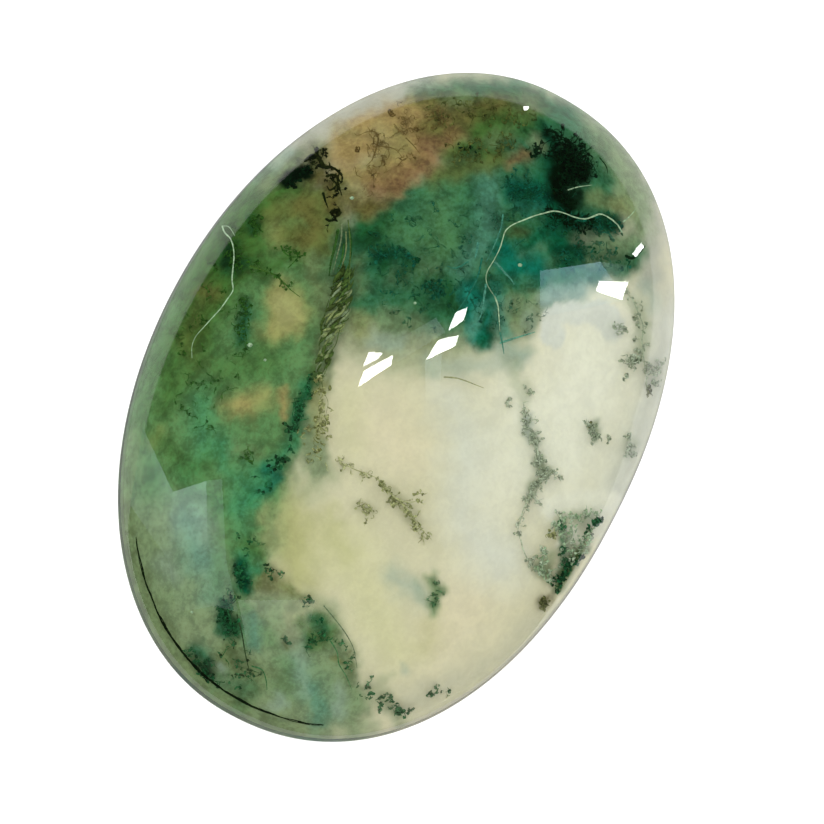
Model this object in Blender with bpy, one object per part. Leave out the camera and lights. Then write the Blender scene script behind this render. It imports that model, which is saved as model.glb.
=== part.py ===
"""An oval moss agate cabochon, cut and polished from one piece of chalcedony.

The stone lies on its flat base in the plane z = 0, with its length along X and its width along Y.
From the base up it has a bevelled foot, an upright girdle that leans in a little, and a polished dome.
Run it with: blender --background --python part.py
"""

import math

import bmesh
import bpy

# Overall size, in metres
STONE_LENGTH = 0.0258
STONE_WIDTH = 0.0180
STONE_HEIGHT = 0.0060

# The foot and the girdle: how far each line lies in from the widest outline, and how high it is
FOOT_INSET = 0.00050
FOOT_HEIGHT = 0.00045
GIRDLE_LEAN = 0.00013
GIRDLE_TOP = 0.00155

# The outline is a superellipse. An exponent of 2 is a plain ellipse, and more is fuller at the shoulders.
ROUND_SIDE_FULLNESS = 2.04
FULL_SIDE_FULLNESS = 2.20

# The dome is the top of an ellipsoid, cut where its own angle from the apex reaches this
DOME_CUT = math.radians(74)

# Steps round the outline, and from the apex down to the girdle
OUTLINE_STEPS = 96
DOME_STEPS = 22
RINGS = DOME_STEPS + 3

# Milky chalcedony tinted green by its moss, as linear colour
STONE_COLOUR = (0.33, 0.40, 0.27, 1.0)
POLISH_ROUGHNESS = 0.06
CHALCEDONY_IOR = 1.54


def clear_scene():
    """Removes what the file holds, so that only the stone is left."""
    for thing in list(bpy.data.objects):
        bpy.data.objects.remove(thing)


def signed_power(value, exponent):
    """Raises a value to a power and keeps its sign, as a superellipse needs."""
    return math.copysign(abs(value) ** exponent, value)


def outline_point(turn, inset):
    """The point of the outline at this turn about Z, moved in along the outline's normal."""
    fullness = ROUND_SIDE_FULLNESS if math.sin(turn) > 0 else FULL_SIDE_FULLNESS
    half_length = STONE_LENGTH / 2
    half_width = STONE_WIDTH / 2
    across = signed_power(math.cos(turn), 2 / fullness)
    along = signed_power(math.sin(turn), 2 / fullness)
    normal_x = math.cos(turn) / half_length
    normal_y = math.sin(turn) / half_width
    reach = math.hypot(normal_x, normal_y)
    return (
        half_length * across - inset * normal_x / reach,
        half_width * along - inset * normal_y / reach,
    )


def ring_shape(ring):
    """(share of the outline, inset, height) of a ring, counted from the apex down to the base's middle."""
    if ring <= DOME_STEPS:
        angle = DOME_CUT * ring / DOME_STEPS
        share = math.sin(angle) / math.sin(DOME_CUT)
        rise = (math.cos(angle) - math.cos(DOME_CUT)) / (1 - math.cos(DOME_CUT))
        height = GIRDLE_TOP + (STONE_HEIGHT - GIRDLE_TOP) * rise
        return share, GIRDLE_LEAN, height
    if ring == DOME_STEPS + 1:
        return 1.0, 0.0, FOOT_HEIGHT
    if ring == DOME_STEPS + 2:
        return 1.0, FOOT_INSET, 0.0
    return 0.0, 0.0, 0.0


def stone_material():
    """The plain finish of the solid: polished milky green stone."""
    material = bpy.data.materials.new("polished moss agate")
    material.use_nodes = True
    shader = material.node_tree.nodes["Principled BSDF"]
    shader.inputs["Base Color"].default_value = STONE_COLOUR
    shader.inputs["Roughness"].default_value = POLISH_ROUGHNESS
    shader.inputs["Metallic"].default_value = 0.0
    shader.inputs["IOR"].default_value = CHALCEDONY_IOR
    return material


def make_stone(collection):
    """A round primitive whose rings are moved onto the cabochon's profile and outline."""
    form = bmesh.new()
    bmesh.ops.create_uvsphere(form, u_segments=OUTLINE_STEPS, v_segments=RINGS, radius=1.0)
    for point in form.verts:
        turn = math.atan2(point.co.y, point.co.x)
        ring = round(math.acos(max(-1.0, min(1.0, point.co.z))) / math.pi * RINGS)
        share, inset, height = ring_shape(ring)
        x, y = outline_point(turn, inset)
        point.co = (share * x, share * y, height)
    mesh = bpy.data.meshes.new("stone")
    form.to_mesh(mesh)
    form.free()
    mesh.shade_smooth()
    mesh.set_sharp_from_angle(angle=math.radians(18))
    stone = bpy.data.objects.new("stone", mesh)
    stone.data.materials.append(stone_material())
    collection.objects.link(stone)
    return stone


def main():
    clear_scene()
    agate = bpy.data.collections.new("moss agate")
    bpy.context.scene.collection.children.link(agate)
    make_stone(agate)


main()
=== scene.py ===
"""A moss agate cabochon: clear chalcedony over a milky body, with green moss grown in the clear stone.

Every piece is a surface worked out with numpy. The moss, the clouds and the reflections are placed by
points of the photograph, in pixels. For what lies inside, a line of sight carries each point down through
the polished dome, bent as the stone bends it, to where the thing really is.
"""

import math
from collections import namedtuple

import bpy
import numpy as np
from bpy.props import FloatProperty, FloatVectorProperty, PointerProperty
from bpy.types import Operator, Panel, PropertyGroup
from mathutils import Matrix, Vector


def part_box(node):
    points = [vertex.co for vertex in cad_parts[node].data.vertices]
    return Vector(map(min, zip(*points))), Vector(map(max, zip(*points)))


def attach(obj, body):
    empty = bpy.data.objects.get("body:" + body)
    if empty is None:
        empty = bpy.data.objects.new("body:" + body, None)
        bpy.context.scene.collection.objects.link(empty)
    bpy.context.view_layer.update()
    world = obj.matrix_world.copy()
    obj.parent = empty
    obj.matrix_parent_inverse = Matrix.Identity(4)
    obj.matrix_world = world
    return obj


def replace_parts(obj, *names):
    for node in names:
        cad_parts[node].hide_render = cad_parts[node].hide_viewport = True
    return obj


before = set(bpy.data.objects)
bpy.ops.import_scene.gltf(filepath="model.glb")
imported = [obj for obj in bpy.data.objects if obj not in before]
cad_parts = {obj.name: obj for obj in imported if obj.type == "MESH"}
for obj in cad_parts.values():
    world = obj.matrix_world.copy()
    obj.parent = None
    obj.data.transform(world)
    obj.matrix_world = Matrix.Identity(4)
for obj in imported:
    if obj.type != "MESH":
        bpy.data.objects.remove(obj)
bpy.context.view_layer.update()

bl_info = {
    "name": "Moss agate cabochon",
    "version": (1, 0, 0),
    "blender": (4, 5, 0),
    "location": "View3D > Sidebar > Moss agate",
    "description": "Makes an oval moss agate with its moss, milk and polish",
    "category": "Add Mesh",
}

MM = 0.001
STONE_LOW, STONE_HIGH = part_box("stone")
STONE_LENGTH, STONE_WIDTH, STONE_HEIGHT = STONE_HIGH - STONE_LOW
STONE_BODY = "root"

# A cabochon's form. Half length and half width are those of its widest line, at the foot's height.
Form = namedtuple("Form", "half_length half_width base foot_inset foot lean girdle top")

# The solid's own lines, as the cut stone has them
GIRDLE_LEAN = 0.13 * MM
GIRDLE_TOP = 1.55 * MM
FOOT_HEIGHT = 0.45 * MM
FOOT_INSET = 0.50 * MM
DOME_CUT = math.radians(74)
ROUND_SIDE_FULLNESS = 2.04
FULL_SIDE_FULLNESS = 2.20

# The photograph: its size in pixels, how many pixels a millimetre takes, and where the stone's middle is
PICTURE = 824
PIXELS_A_MM = 27.68
STONE_IN_PICTURE = (396.0, 401.0)

# The camera leans this far from upright, towards this bearing of the stone's own axes
CAMERA_LEAN = math.radians(12)
CAMERA_BEARING = math.radians(171.7)
LENGTH_IN_PICTURE = math.radians(61.35)
CAMERA_DISTANCE = 260 * MM
SENSOR = 36.0

TINTS = {
    "cream": ((0.575, 0.55, 0.375), "milky chalcedony where no moss grows"),
    "pale": ((0.69, 0.69, 0.56), "the whitest milk"),
    "pearl": ((0.57, 0.59, 0.51), "greyer milk"),
    # Painted light: this grey stands in for the shade and reflection along the dome's edge
    "smoke": ((0.38, 0.39, 0.31), "the grey of the rim"),
    "peach": ((0.66, 0.59, 0.41), "warm milk"),
    "straw": ((0.55, 0.54, 0.31), "yellowish milk"),
    "honey": ((0.4, 0.4, 0.18), "yellow milk"),
    "amber": ((0.27, 0.27, 0.095), "yellow milk over green"),
    # Partly painted light: by the highlights and in the pale veils this haze is painted reflection
    "mist": ((0.27, 0.36, 0.3), "bluish grey haze"),
    "sage": ((0.17, 0.24, 0.12), "grey green cloud"),
    "fern": ((0.12, 0.17, 0.07), "dull green cloud"),
    "mint": ((0.04, 0.21, 0.09), "the brightest green"),
    "jade": ((0.09, 0.195, 0.07), "mid green cloud"),
    "leaf": ((0.045, 0.115, 0.022), "fresh dark green cloud"),
    "olive": ((0.1, 0.125, 0.032), "brownish green cloud"),
    "bronze": ((0.11, 0.095, 0.026), "brown cloud"),
    "fir": ((0.03, 0.125, 0.055), "the crown's own green"),
    "forest": ((0.01, 0.075, 0.022), "deep green cloud"),
    "lagoon": ((0.012, 0.19, 0.13), "light blue green cloud"),
    "teal": ((0.002, 0.115, 0.072), "blue green cloud"),
    "reef": ((0.075, 0.215, 0.145), "hazy blue green"),
    "emerald": ((0.002, 0.08, 0.034), "dark clean green"),
    "night": ((0.0012, 0.0085, 0.0018), "green so deep that it reads as black"),
    "tan": ((0.325, 0.238, 0.09), "iron stained milk"),
    "rust": ((0.17, 0.105, 0.045), "the reddest of the iron stain"),
}

# Clouds in the milk, from the first laid to the last, with painted shade and reflection among them along the
# rim and by the highlights: tint, strength, softness in pixels, and a path of points (across, down, radius),
# also in pixels.
WASHES = (
    # The milk's own warmth and greyness, and the grey band inside the rim, which is painted shade and
    # reflection of the dome's edge
    ("pale", 0.95, 50, (600, 350, 60), (560, 450, 60), (520, 400, 30)),
    ("pale", 0.5, 40, (500, 470, 40), (490, 560, 30)),
    ("peach", 0.6, 34, (405, 450, 24), (380, 425, 20)),
    ("peach", 0.6, 40, (465, 615, 30), (430, 640, 20)),
    ("pearl", 0.7, 30, (450, 400, 14), (468, 440, 20), (462, 520, 16), (500, 560, 20)),
    ("pearl", 0.8, 18, (668, 320, 16), (655, 400, 14), (622, 480, 14), (596, 524, 10)),
    ("smoke", 0.5, 12, (664, 300, 9), (660, 370, 7), (644, 440, 8), (618, 492, 8)),
    ("smoke", 0.35, 14, (548, 616, 9), (520, 640, 7), (486, 666, 9), (440, 690, 12), (400, 706, 10)),
    ("straw", 0.75, 28, (345, 550, 28), (372, 604, 24), (395, 650, 20)),
    ("straw", 0.45, 20, (348, 400, 14), (350, 440, 14)),
    ("honey", 0.97, 24, (284, 505, 22), (290, 540, 28), (300, 575, 20)),
    ("straw", 0.5, 16, (330, 545, 16), (312, 560, 10)),
    ("honey", 0.45, 12, (322, 520, 8), (345, 555, 10)),
    ("honey", 0.55, 12, (332, 508, 8), (340, 522, 8)),
    ("sage", 0.45, 14, (310, 488, 12), (332, 474, 7)),
    ("mist", 0.35, 18, (396, 574, 8), (420, 600, 8)),
    # Painted shade and reflection: the rim's grey along the top and the upper right edge
    ("smoke", 0.95, 12, (290, 138, 22), (350, 100, 22), (420, 78, 16)),
    ("smoke", 0.85, 12, (600, 118, 10), (640, 170, 10), (664, 230, 8)),
    ("smoke", 0.97, 14, (640, 216, 12), (648, 250, 18), (652, 282, 12)),
    ("fir", 1.0, 38, (350, 294, 46), (400, 302, 50), (450, 300, 46)),
    # The left flank, green from the shoulder to the foot
    ("jade", 1.0, 20, (262, 240, 70), (222, 330, 84), (206, 420, 88), (184, 520, 92)),
    ("jade", 0.97, 16, (312, 225, 30), (306, 300, 34), (296, 360, 32), (278, 420, 34), (240, 490, 36)),
    ("jade", 0.97, 14, (240, 490, 36), (240, 536, 26), (236, 580, 26)),
    ("sage", 0.95, 24, (160, 560, 60), (190, 640, 62), (250, 680, 62), (316, 706, 38)),
    ("sage", 0.95, 14, (262, 614, 22), (298, 614, 18), (318, 624, 20), (330, 664, 24), (345, 700, 22)),
    ("sage", 0.75, 12, (336, 700, 20), (328, 650, 16), (352, 722, 12)),
    ("sage", 0.55, 12, (122, 440, 16), (128, 520, 16), (160, 620, 16)),
    ("mint", 0.6, 18, (205, 400, 12), (204, 446, 12), (190, 470, 10)),
    ("mint", 0.75, 14, (222, 446, 10), (246, 478, 16), (240, 500, 14), (262, 492, 8)),
    ("leaf", 1.0, 16, (276, 190, 16), (246, 222, 26), (226, 262, 30), (206, 300, 26), (190, 330, 20)),
    ("leaf", 0.8, 16, (184, 330, 14), (172, 372, 12), (164, 410, 9)),
    ("olive", 0.6, 14, (206, 296, 9), (186, 340, 9), (196, 362, 9)),
    ("leaf", 0.85, 9, (240, 262, 12), (266, 268, 8), (296, 258, 6)),
    ("leaf", 0.55, 9, (260, 246, 9), (268, 252, 7)),
    ("leaf", 0.55, 18, (262, 356, 18), (226, 372, 18), (206, 350, 14), (180, 384, 14)),
    ("olive", 0.95, 12, (318, 152, 12), (308, 196, 12), (334, 206, 14), (340, 178, 12)),
    ("olive", 0.95, 12, (280, 214, 14), (312, 212, 18), (322, 246, 14), (286, 236, 16)),
    ("bronze", 0.6, 10, (304, 208, 10), (316, 228, 10), (300, 244, 7)),
    ("amber", 0.35, 9, (272, 226, 7), (278, 240, 5)),
    ("fern", 0.85, 10, (314, 262, 10), (318, 290, 9), (320, 320, 6)),
    ("amber", 0.97, 11, (282, 294, 15), (288, 316, 20), (274, 328, 12)),
    ("honey", 0.45, 12, (284, 300, 7), (290, 316, 9)),
    ("jade", 0.5, 6, (262, 318, 5), (264, 330, 5)),
    ("emerald", 0.8, 9, (246, 304, 5), (246, 322, 8), (242, 338, 8)),
    ("forest", 0.85, 7, (252, 218, 5), (254, 228, 4)),
    ("forest", 0.85, 8, (228, 248, 8), (232, 268, 7), (246, 262, 5)),
    ("night", 0.8, 6, (226, 246, 3), (229, 262, 4)),
    ("bronze", 0.55, 6, (200, 292, 4), (222, 298, 4)),
    ("amber", 0.85, 12, (230, 408, 8), (250, 406, 13), (266, 396, 9)),
    ("tan", 0.45, 8, (236, 410, 6), (246, 408, 5)),
    ("tan", 0.75, 6, (284, 388, 4), (285, 414, 5)),
    ("amber", 0.45, 9, (162, 432, 6), (150, 446, 5)),
    ("fern", 0.6, 9, (238, 448, 7), (256, 456, 6)),
    ("jade", 0.75, 8, (238, 462, 7), (242, 470, 6)),
    # The rope vein's own band, and the clean green at its foot
    ("fern", 0.9, 8, (343, 232, 10), (339, 280, 13), (333, 314, 12), (326, 344, 10), (320, 372, 8),
     (316, 402, 8)),
    ("sage", 0.5, 7, (334, 290, 7), (334, 322, 6), (322, 360, 4)),
    ("forest", 0.6, 8, (342, 236, 8), (338, 262, 7)),
    ("sage", 0.85, 8, (312, 416, 10), (313, 446, 13), (316, 468, 12)),
    ("honey", 0.55, 6, (320, 384, 6), (318, 408, 9), (319, 436, 6)),
    ("leaf", 0.7, 7, (314, 372, 5), (308, 392, 6)),
    ("mint", 0.8, 7, (306, 384, 6), (299, 404, 6), (294, 430, 6), (290, 448, 5)),
    ("emerald", 0.6, 6, (310, 384, 4), (302, 396, 4), (298, 414, 3)),
    ("mint", 0.9, 9, (284, 454, 5), (270, 470, 10), (262, 486, 9), (250, 500, 5)),
    ("teal", 0.7, 6, (264, 470, 5), (276, 478, 5), (266, 488, 4)),
    # Below the flank
    ("mint", 0.45, 12, (240, 512, 9), (248, 540, 10)),
    ("leaf", 0.7, 10, (248, 546, 9), (256, 556, 9)),
    ("mint", 0.55, 8, (244, 560, 9), (256, 570, 8)),
    ("emerald", 0.9, 7, (240, 566, 8), (244, 586, 8)),
    ("night", 0.7, 4, (234, 574, 3), (243, 590, 4)),
    ("olive", 0.8, 9, (266, 576, 9), (284, 590, 9), (300, 598, 5)),
    ("straw", 0.45, 10, (306, 612, 7), (290, 618, 6)),
    ("sage", 0.8, 12, (258, 616, 15), (270, 650, 16)),
    ("emerald", 0.6, 9, (228, 606, 6), (225, 628, 10), (238, 640, 5)),
    ("teal", 0.6, 9, (196, 650, 7), (204, 664, 7), (214, 680, 4)),
    ("fern", 0.8, 12, (226, 660, 16), (256, 680, 12), (238, 700, 14)),
    ("mint", 0.6, 10, (246, 620, 6), (252, 646, 6)),
    ("leaf", 0.75, 10, (316, 620, 10), (328, 634, 9), (304, 642, 9)),
    ("sage", 0.65, 9, (344, 648, 6), (352, 674, 7), (336, 660, 6)),
    ("reef", 0.5, 16, (296, 660, 12), (310, 690, 14), (324, 714, 12)),
    ("jade", 0.45, 14, (284, 664, 10), (282, 690, 14)),
    # Painted reflection: bluish haze in the pale veil at the lower left
    ("mist", 0.25, 14, (196, 520, 16), (200, 560, 12)),
    ("mist", 0.35, 12, (164, 560, 9), (170, 572, 8)),
    ("reef", 0.45, 14, (206, 556, 14), (212, 592, 14)),
    ("sage", 0.7, 9, (384, 700, 7), (394, 708, 7), (402, 714, 5)),
    ("sage", 0.4, 8, (384, 680, 6), (374, 690, 5)),
    ("sage", 0.55, 8, (356, 726, 6), (372, 724, 6)),
    ("fern", 0.4, 8, (284, 628, 6), (292, 640, 6)),
    ("jade", 0.6, 8, (258, 630, 7), (270, 640, 7)),
    ("leaf", 0.6, 14, (158, 440, 12), (188, 468, 12), (206, 462, 10)),
    ("reef", 0.5, 14, (188, 520, 12), (194, 560, 12)),
    ("jade", 0.55, 9, (216, 560, 7), (216, 588, 7)),
    # Small clouds of the foot, and the grey brown outside the seam, which is painted shade and reflection
    # along the lower left rim
    ("honey", 0.4, 8, (266, 508, 6), (266, 540, 7)),
    ("emerald", 1.0, 5, (235, 566, 4), (236, 578, 4), (240, 588, 4), (247, 591, 4)),
    ("mint", 0.8, 5, (246, 574, 4), (258, 572, 5)),
    ("fir", 0.9, 6, (228, 602, 4), (222, 618, 8), (220, 630, 7), (234, 632, 8)),
    ("forest", 0.8, 5, (227, 604, 3), (236, 630, 5)),
    ("fern", 0.9, 7, (232, 646, 8), (226, 658, 8)),
    ("fir", 0.9, 7, (194, 652, 8), (202, 668, 7)),
    ("night", 0.8, 4, (206, 671, 3), (213, 675, 3)),
    ("mist", 0.55, 5, (221, 668, 3), (226, 672, 3)),
    ("fir", 0.55, 9, (222, 684, 8), (246, 690, 10), (240, 700, 8)),
    ("reef", 0.6, 6, (250, 622, 5), (254, 646, 5)),
    ("mist", 0.45, 6, (278, 702, 8), (270, 710, 4)),
    ("leaf", 0.7, 5, (298, 620, 4), (302, 628, 5)),
    ("fir", 0.75, 6, (314, 616, 6), (322, 628, 8)),
    ("forest", 0.6, 5, (306, 638, 4), (310, 644, 4)),
    ("fern", 0.4, 5, (334, 624, 2), (340, 642, 3), (340, 658, 3), (350, 684, 3)),
    ("bronze", 0.6, 4, (336, 660, 3), (340, 663, 3)),
    ("olive", 0.45, 6, (350, 650, 4), (354, 672, 4)),
    ("olive", 0.9, 4, (285, 638, 2), (286, 644, 2)),
    ("mist", 0.25, 8, (300, 646, 6), (304, 690, 6)),
    ("reef", 0.45, 7, (312, 690, 6), (320, 722, 7)),
    ("mist", 0.45, 8, (338, 690, 6), (340, 714, 7)),
    ("jade", 0.8, 6, (241, 602, 6), (244, 612, 6)),
    ("olive", 0.6, 6, (262, 586, 7), (270, 592, 5)),
    # Painted shade and reflection: darker grey brown along the lower left rim, outside the seam
    ("fern", 0.7, 8, (122, 500, 8), (132, 560, 9), (156, 618, 9), (196, 678, 10), (250, 722, 10),
     (326, 740, 8)),
    # The crown: green and blue green, black at its right shoulder
    ("amber", 0.4, 24, (354, 330, 12), (396, 340, 14), (440, 348, 10)),
    # Painted reflection: the grey green band along the upper right rim, over the dark crown
    ("sage", 0.95, 14, (586, 128, 16), (614, 160, 18), (636, 200, 16), (640, 232, 12)),
    ("fir", 1.0, 16, (384, 246, 40), (430, 232, 56), (480, 210, 64), (540, 186, 66)),
    ("fir", 0.97, 18, (366, 270, 34), (392, 280, 36), (440, 290, 36), (490, 300, 38)),
    ("fir", 0.97, 9, (516, 284, 28), (560, 271, 28), (596, 262, 26), (624, 258, 20)),
    ("fir", 1.0, 12, (586, 150, 20), (598, 180, 18), (604, 220, 18)),
    ("sage", 0.85, 10, (510, 310, 18), (526, 318, 14), (536, 300, 8)),
    ("fir", 1.0, 16, (430, 104, 22), (500, 98, 26), (560, 122, 26)),
    ("olive", 0.9, 14, (412, 112, 16), (450, 124, 24), (500, 120, 22), (530, 112, 12)),
    ("forest", 0.95, 12, (362, 210, 12), (364, 236, 14), (386, 222, 12)),
    ("fern", 0.6, 9, (356, 262, 6), (358, 290, 7)),
    ("jade", 0.45, 22, (440, 206, 16), (440, 246, 22), (404, 232, 12)),
    ("reef", 0.62, 12, (486, 178, 10), (490, 220, 12), (480, 250, 12), (458, 272, 8)),
    ("sage", 0.35, 12, (430, 268, 8), (398, 276, 8)),
    ("forest", 0.55, 14, (430, 284, 12), (450, 300, 14), (418, 302, 10)),
    ("emerald", 0.8, 8, (372, 262, 6), (392, 252, 7), (408, 264, 5)),
    ("forest", 0.7, 8, (382, 238, 4), (384, 270, 6)),
    ("fir", 0.55, 8, (430, 292, 7), (436, 300, 7)),
    ("bronze", 0.8, 12, (426, 108, 10), (470, 112, 12), (500, 104, 9)),
    ("leaf", 0.9, 10, (480, 128, 12), (508, 120, 9), (526, 124, 10)),
    ("jade", 0.5, 8, (506, 134, 7), (520, 124, 6), (486, 142, 5)),
    ("leaf", 0.85, 9, (452, 150, 9), (474, 146, 9), (492, 154, 8)),
    ("olive", 0.8, 10, (436, 174, 12), (470, 168, 10), (500, 158, 8)),
    ("forest", 0.75, 5, (460, 148, 4), (468, 150, 4)),
    ("teal", 0.92, 9, (512, 190, 8), (536, 188, 12), (548, 200, 9)),
    ("emerald", 0.5, 8, (528, 196, 10), (536, 180, 8)),
    ("lagoon", 0.45, 6, (518, 206, 5), (540, 208, 5)),
    ("forest", 0.7, 10, (512, 232, 9), (526, 236, 8)),
    ("lagoon", 0.15, 10, (546, 232, 11), (530, 246, 9)),
    ("emerald", 0.9, 9, (530, 246, 8), (552, 222, 9), (556, 246, 10)),
    ("teal", 0.95, 10, (504, 250, 11), (514, 268, 12), (538, 268, 11)),
    ("bronze", 0.35, 6, (514, 230, 6), (522, 234, 4)),
    ("teal", 0.95, 9, (474, 286, 9), (480, 316, 13), (482, 340, 8)),
    ("lagoon", 0.9, 7, (466, 288, 6), (478, 320, 9), (474, 334, 6)),
    ("emerald", 0.55, 7, (484, 318, 6), (488, 334, 6)),
    ("lagoon", 0.6, 6, (496, 286, 5), (494, 322, 5)),
    ("fern", 0.55, 9, (516, 322, 8), (528, 328, 4)),
    ("mist", 0.35, 8, (528, 316, 7), (531, 334, 5)),
    ("emerald", 0.9, 8, (546, 126, 6), (552, 142, 6), (546, 166, 8), (556, 206, 8)),
    ("night", 1.0, 6, (560, 150, 6), (569, 164, 13), (581, 175, 9)),
    ("night", 1.0, 6, (558, 168, 14), (556, 190, 9), (566, 206, 7)),
    ("night", 0.75, 5, (544, 126, 4), (552, 134, 5)),
    ("emerald", 0.9, 7, (556, 218, 9), (580, 220, 7), (612, 226, 7)),
    ("night", 0.75, 5, (566, 218, 4), (580, 222, 4), (612, 222, 5), (618, 230, 3)),
    ("emerald", 0.9, 8, (556, 244, 11), (574, 254, 10), (564, 266, 7)),
    ("sage", 0.55, 8, (598, 244, 9), (612, 254, 9), (590, 262, 6)),
    ("sage", 0.75, 7, (614, 247, 6), (630, 246, 7)),
    ("night", 0.6, 5, (560, 250, 4), (576, 246, 3)),
    ("sage", 0.9, 6, (534, 136, 5), (538, 146, 6)),
    ("rust", 0.8, 7, (512, 162, 7), (522, 156, 7)),
    ("fern", 0.8, 7, (590, 198, 7), (606, 202, 9), (626, 204, 10)),
    ("amber", 0.35, 9, (620, 202, 7), (630, 210, 7)),
    # Painted reflection: more of the grey green band along the upper right rim
    ("sage", 0.6, 12, (600, 138, 10), (622, 170, 12), (640, 206, 10)),
    ("night", 0.9, 6, (576, 196, 8), (566, 206, 6)),
    ("sage", 0.8, 6, (526, 100, 5), (534, 106, 5)),
    ("fern", 0.6, 7, (520, 106, 6), (534, 108, 6)),
    ("forest", 0.8, 7, (524, 130, 6), (536, 128, 5)),
    ("forest", 0.8, 8, (404, 274, 6), (414, 268, 6)),
    ("sage", 0.75, 14, (384, 322, 10), (414, 322, 8)),
    ("reef", 0.75, 6, (470, 330, 4), (480, 320, 5), (482, 304, 3)),
    ("reef", 0.85, 6, (500, 300, 4), (503, 330, 6)),
    ("emerald", 0.8, 4, (485, 318, 3), (486, 320, 3)),
    ("emerald", 0.8, 4, (484, 333, 3), (479, 343, 4)),
    ("forest", 0.8, 7, (448, 286, 5), (454, 302, 5)),
    # Iron stain at the top left
    ("tan", 1.0, 12, (352, 138, 24), (384, 130, 34), (404, 148, 30), (392, 172, 22), (366, 176, 14)),
    ("tan", 0.9, 12, (424, 122, 18), (446, 136, 12)),
    ("sage", 0.25, 12, (336, 130, 10), (354, 134, 6)),
    # Painted shade and reflection: the rim's grey along the top edge
    ("smoke", 0.8, 10, (326, 124, 8), (352, 106, 9), (396, 90, 8)),
    ("rust", 0.9, 10, (398, 186, 12), (374, 190, 12)),
    ("honey", 0.35, 9, (378, 128, 9), (384, 148, 6)),
    ("tan", 0.8, 10, (338, 156, 14), (352, 168, 14)),
    ("amber", 0.55, 9, (398, 136, 9), (404, 150, 8), (364, 166, 5)),
    ("rust", 0.9, 12, (436, 148, 14), (420, 166, 14), (400, 182, 9)),
    ("bronze", 0.8, 8, (386, 202, 8), (372, 208, 7)),
    ("rust", 0.8, 8, (424, 140, 9), (450, 132, 8), (428, 112, 5)),
    ("bronze", 0.8, 8, (424, 128, 7), (440, 124, 6)),
    ("olive", 0.6, 8, (430, 104, 6), (436, 128, 7)),
    ("bronze", 0.9, 9, (352, 198, 12), (368, 206, 10)),
    ("sage", 0.35, 8, (448, 102, 8), (472, 99, 7)),
    ("leaf", 0.6, 9, (450, 153, 8), (462, 147, 7)),
    ("bronze", 0.5, 8, (452, 130, 7), (462, 128, 7)),
    ("amber", 0.4, 10, (360, 322, 8), (366, 334, 7)),
    ("amber", 0.45, 8, (352, 180, 7), (364, 190, 5)),
    ("bronze", 0.85, 6, (320, 176, 7), (330, 186, 8), (334, 206, 8)),
    ("leaf", 0.9, 6, (276, 196, 5), (300, 192, 4)),
    ("reef", 0.55, 9, (262, 172, 10), (288, 154, 10)),
    ("fern", 0.95, 7, (266, 190, 6), (284, 172, 7), (300, 156, 6)),
    ("night", 1.0, 3, (311, 163, 4), (308, 171, 9), (302, 174, 12), (290, 179, 10), (282, 187, 5)),
    # Right of the crown: milk again, with a grey at the dark edge that is partly painted reflection of the
    # pale veil over it, and more painted reflection as bluish haze round the windows' highlights
    # Painted reflection: the bluish grey under the pale veil, at the crown's lower edge
    ("mist", 0.8, 10, (548, 296, 9), (580, 294, 9)),
    ("pearl", 1.0, 3, (552, 340, 11), (552, 315, 11), (606, 313, 11), (612, 330, 11)),
    ("mist", 0.55, 9, (646, 286, 7), (650, 304, 7)),
    ("reef", 0.45, 9, (504, 344, 8), (520, 352, 9)),
    ("mist", 0.45, 9, (500, 350, 10), (522, 356, 9)),
    # Painted reflection: a pale bluish streak under a window's highlight, and lighter haze between two
    # highlights
    ("mist", 0.4, 10, (426, 356, 8), (434, 374, 7)),
    ("mist", 0.55, 10, (374, 340, 8), (396, 342, 8)),
    ("mist", 0.5, 12, (450, 366, 10), (504, 366, 9)),
    ("sage", 0.34, 7, (510, 360, 7), (518, 378, 7), (525, 402, 5)),
    ("mist", 0.4, 9, (392, 576, 6), (414, 590, 8)),
    ("honey", 0.45, 16, (434, 626, 12), (424, 646, 10)),
    ("sage", 0.3, 8, (430, 606, 7), (434, 612, 6)),
    ("sage", 0.3, 18, (404, 366, 12), (430, 372, 10)),
    # Hazes round the moss that grows in the milk
    ("mist", 0.55, 5, (530, 422, 5), (533, 437, 5)),
    ("sage", 0.65, 5, (538, 456, 2), (539, 463, 5), (541, 475, 6), (552, 474, 3), (533, 488, 6)),
    ("sage", 0.5, 8, (630, 296, 5), (642, 322, 8), (640, 356, 6)),
    ("sage", 0.75, 4, (592, 428, 4), (598, 428, 4), (597, 438, 3)),
    ("sage", 0.4, 6, (630, 444, 5), (630, 452, 4)),
    ("pale", 0.95, 6, (548, 510, 11), (580, 502, 9), (612, 500, 7), (604, 512, 3)),
    ("jade", 0.26, 4, (553, 530, 4), (564, 521, 6), (580, 517, 7), (594, 519, 5)),
    ("jade", 0.14, 4, (572, 534, 10), (580, 546, 7), (566, 560, 10)),
    ("sage", 0.22, 7, (566, 540, 5), (558, 554, 7), (574, 552, 5)),
    ("jade", 0.5, 7, (548, 554, 5), (542, 568, 6), (552, 584, 4)),
    ("mist", 0.3, 5, (574, 530, 5), (570, 548, 5)),
    ("reef", 0.55, 4, (564, 546, 4), (564, 568, 5)),
    ("fern", 0.6, 5, (534, 568, 4), (546, 570, 6)),
    ("pale", 0.8, 2, (566, 534, 2), (566, 537, 2)),
    ("pale", 0.8, 2, (555, 541, 2), (558, 544, 2)),
    ("mint", 0.7, 3, (562, 522, 2), (562, 530, 3), (563, 546, 3)),
    ("pale", 0.95, 3, (572, 526, 4), (577, 537, 7)),
    ("leaf", 0.95, 5, (586, 548, 3), (574, 562, 5), (562, 578, 5), (556, 588, 5)),
    ("bronze", 0.8, 5, (540, 605, 4), (548, 601, 4)),
    ("jade", 0.85, 7, (434, 578, 5), (440, 592, 8), (434, 608, 6)),
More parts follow.
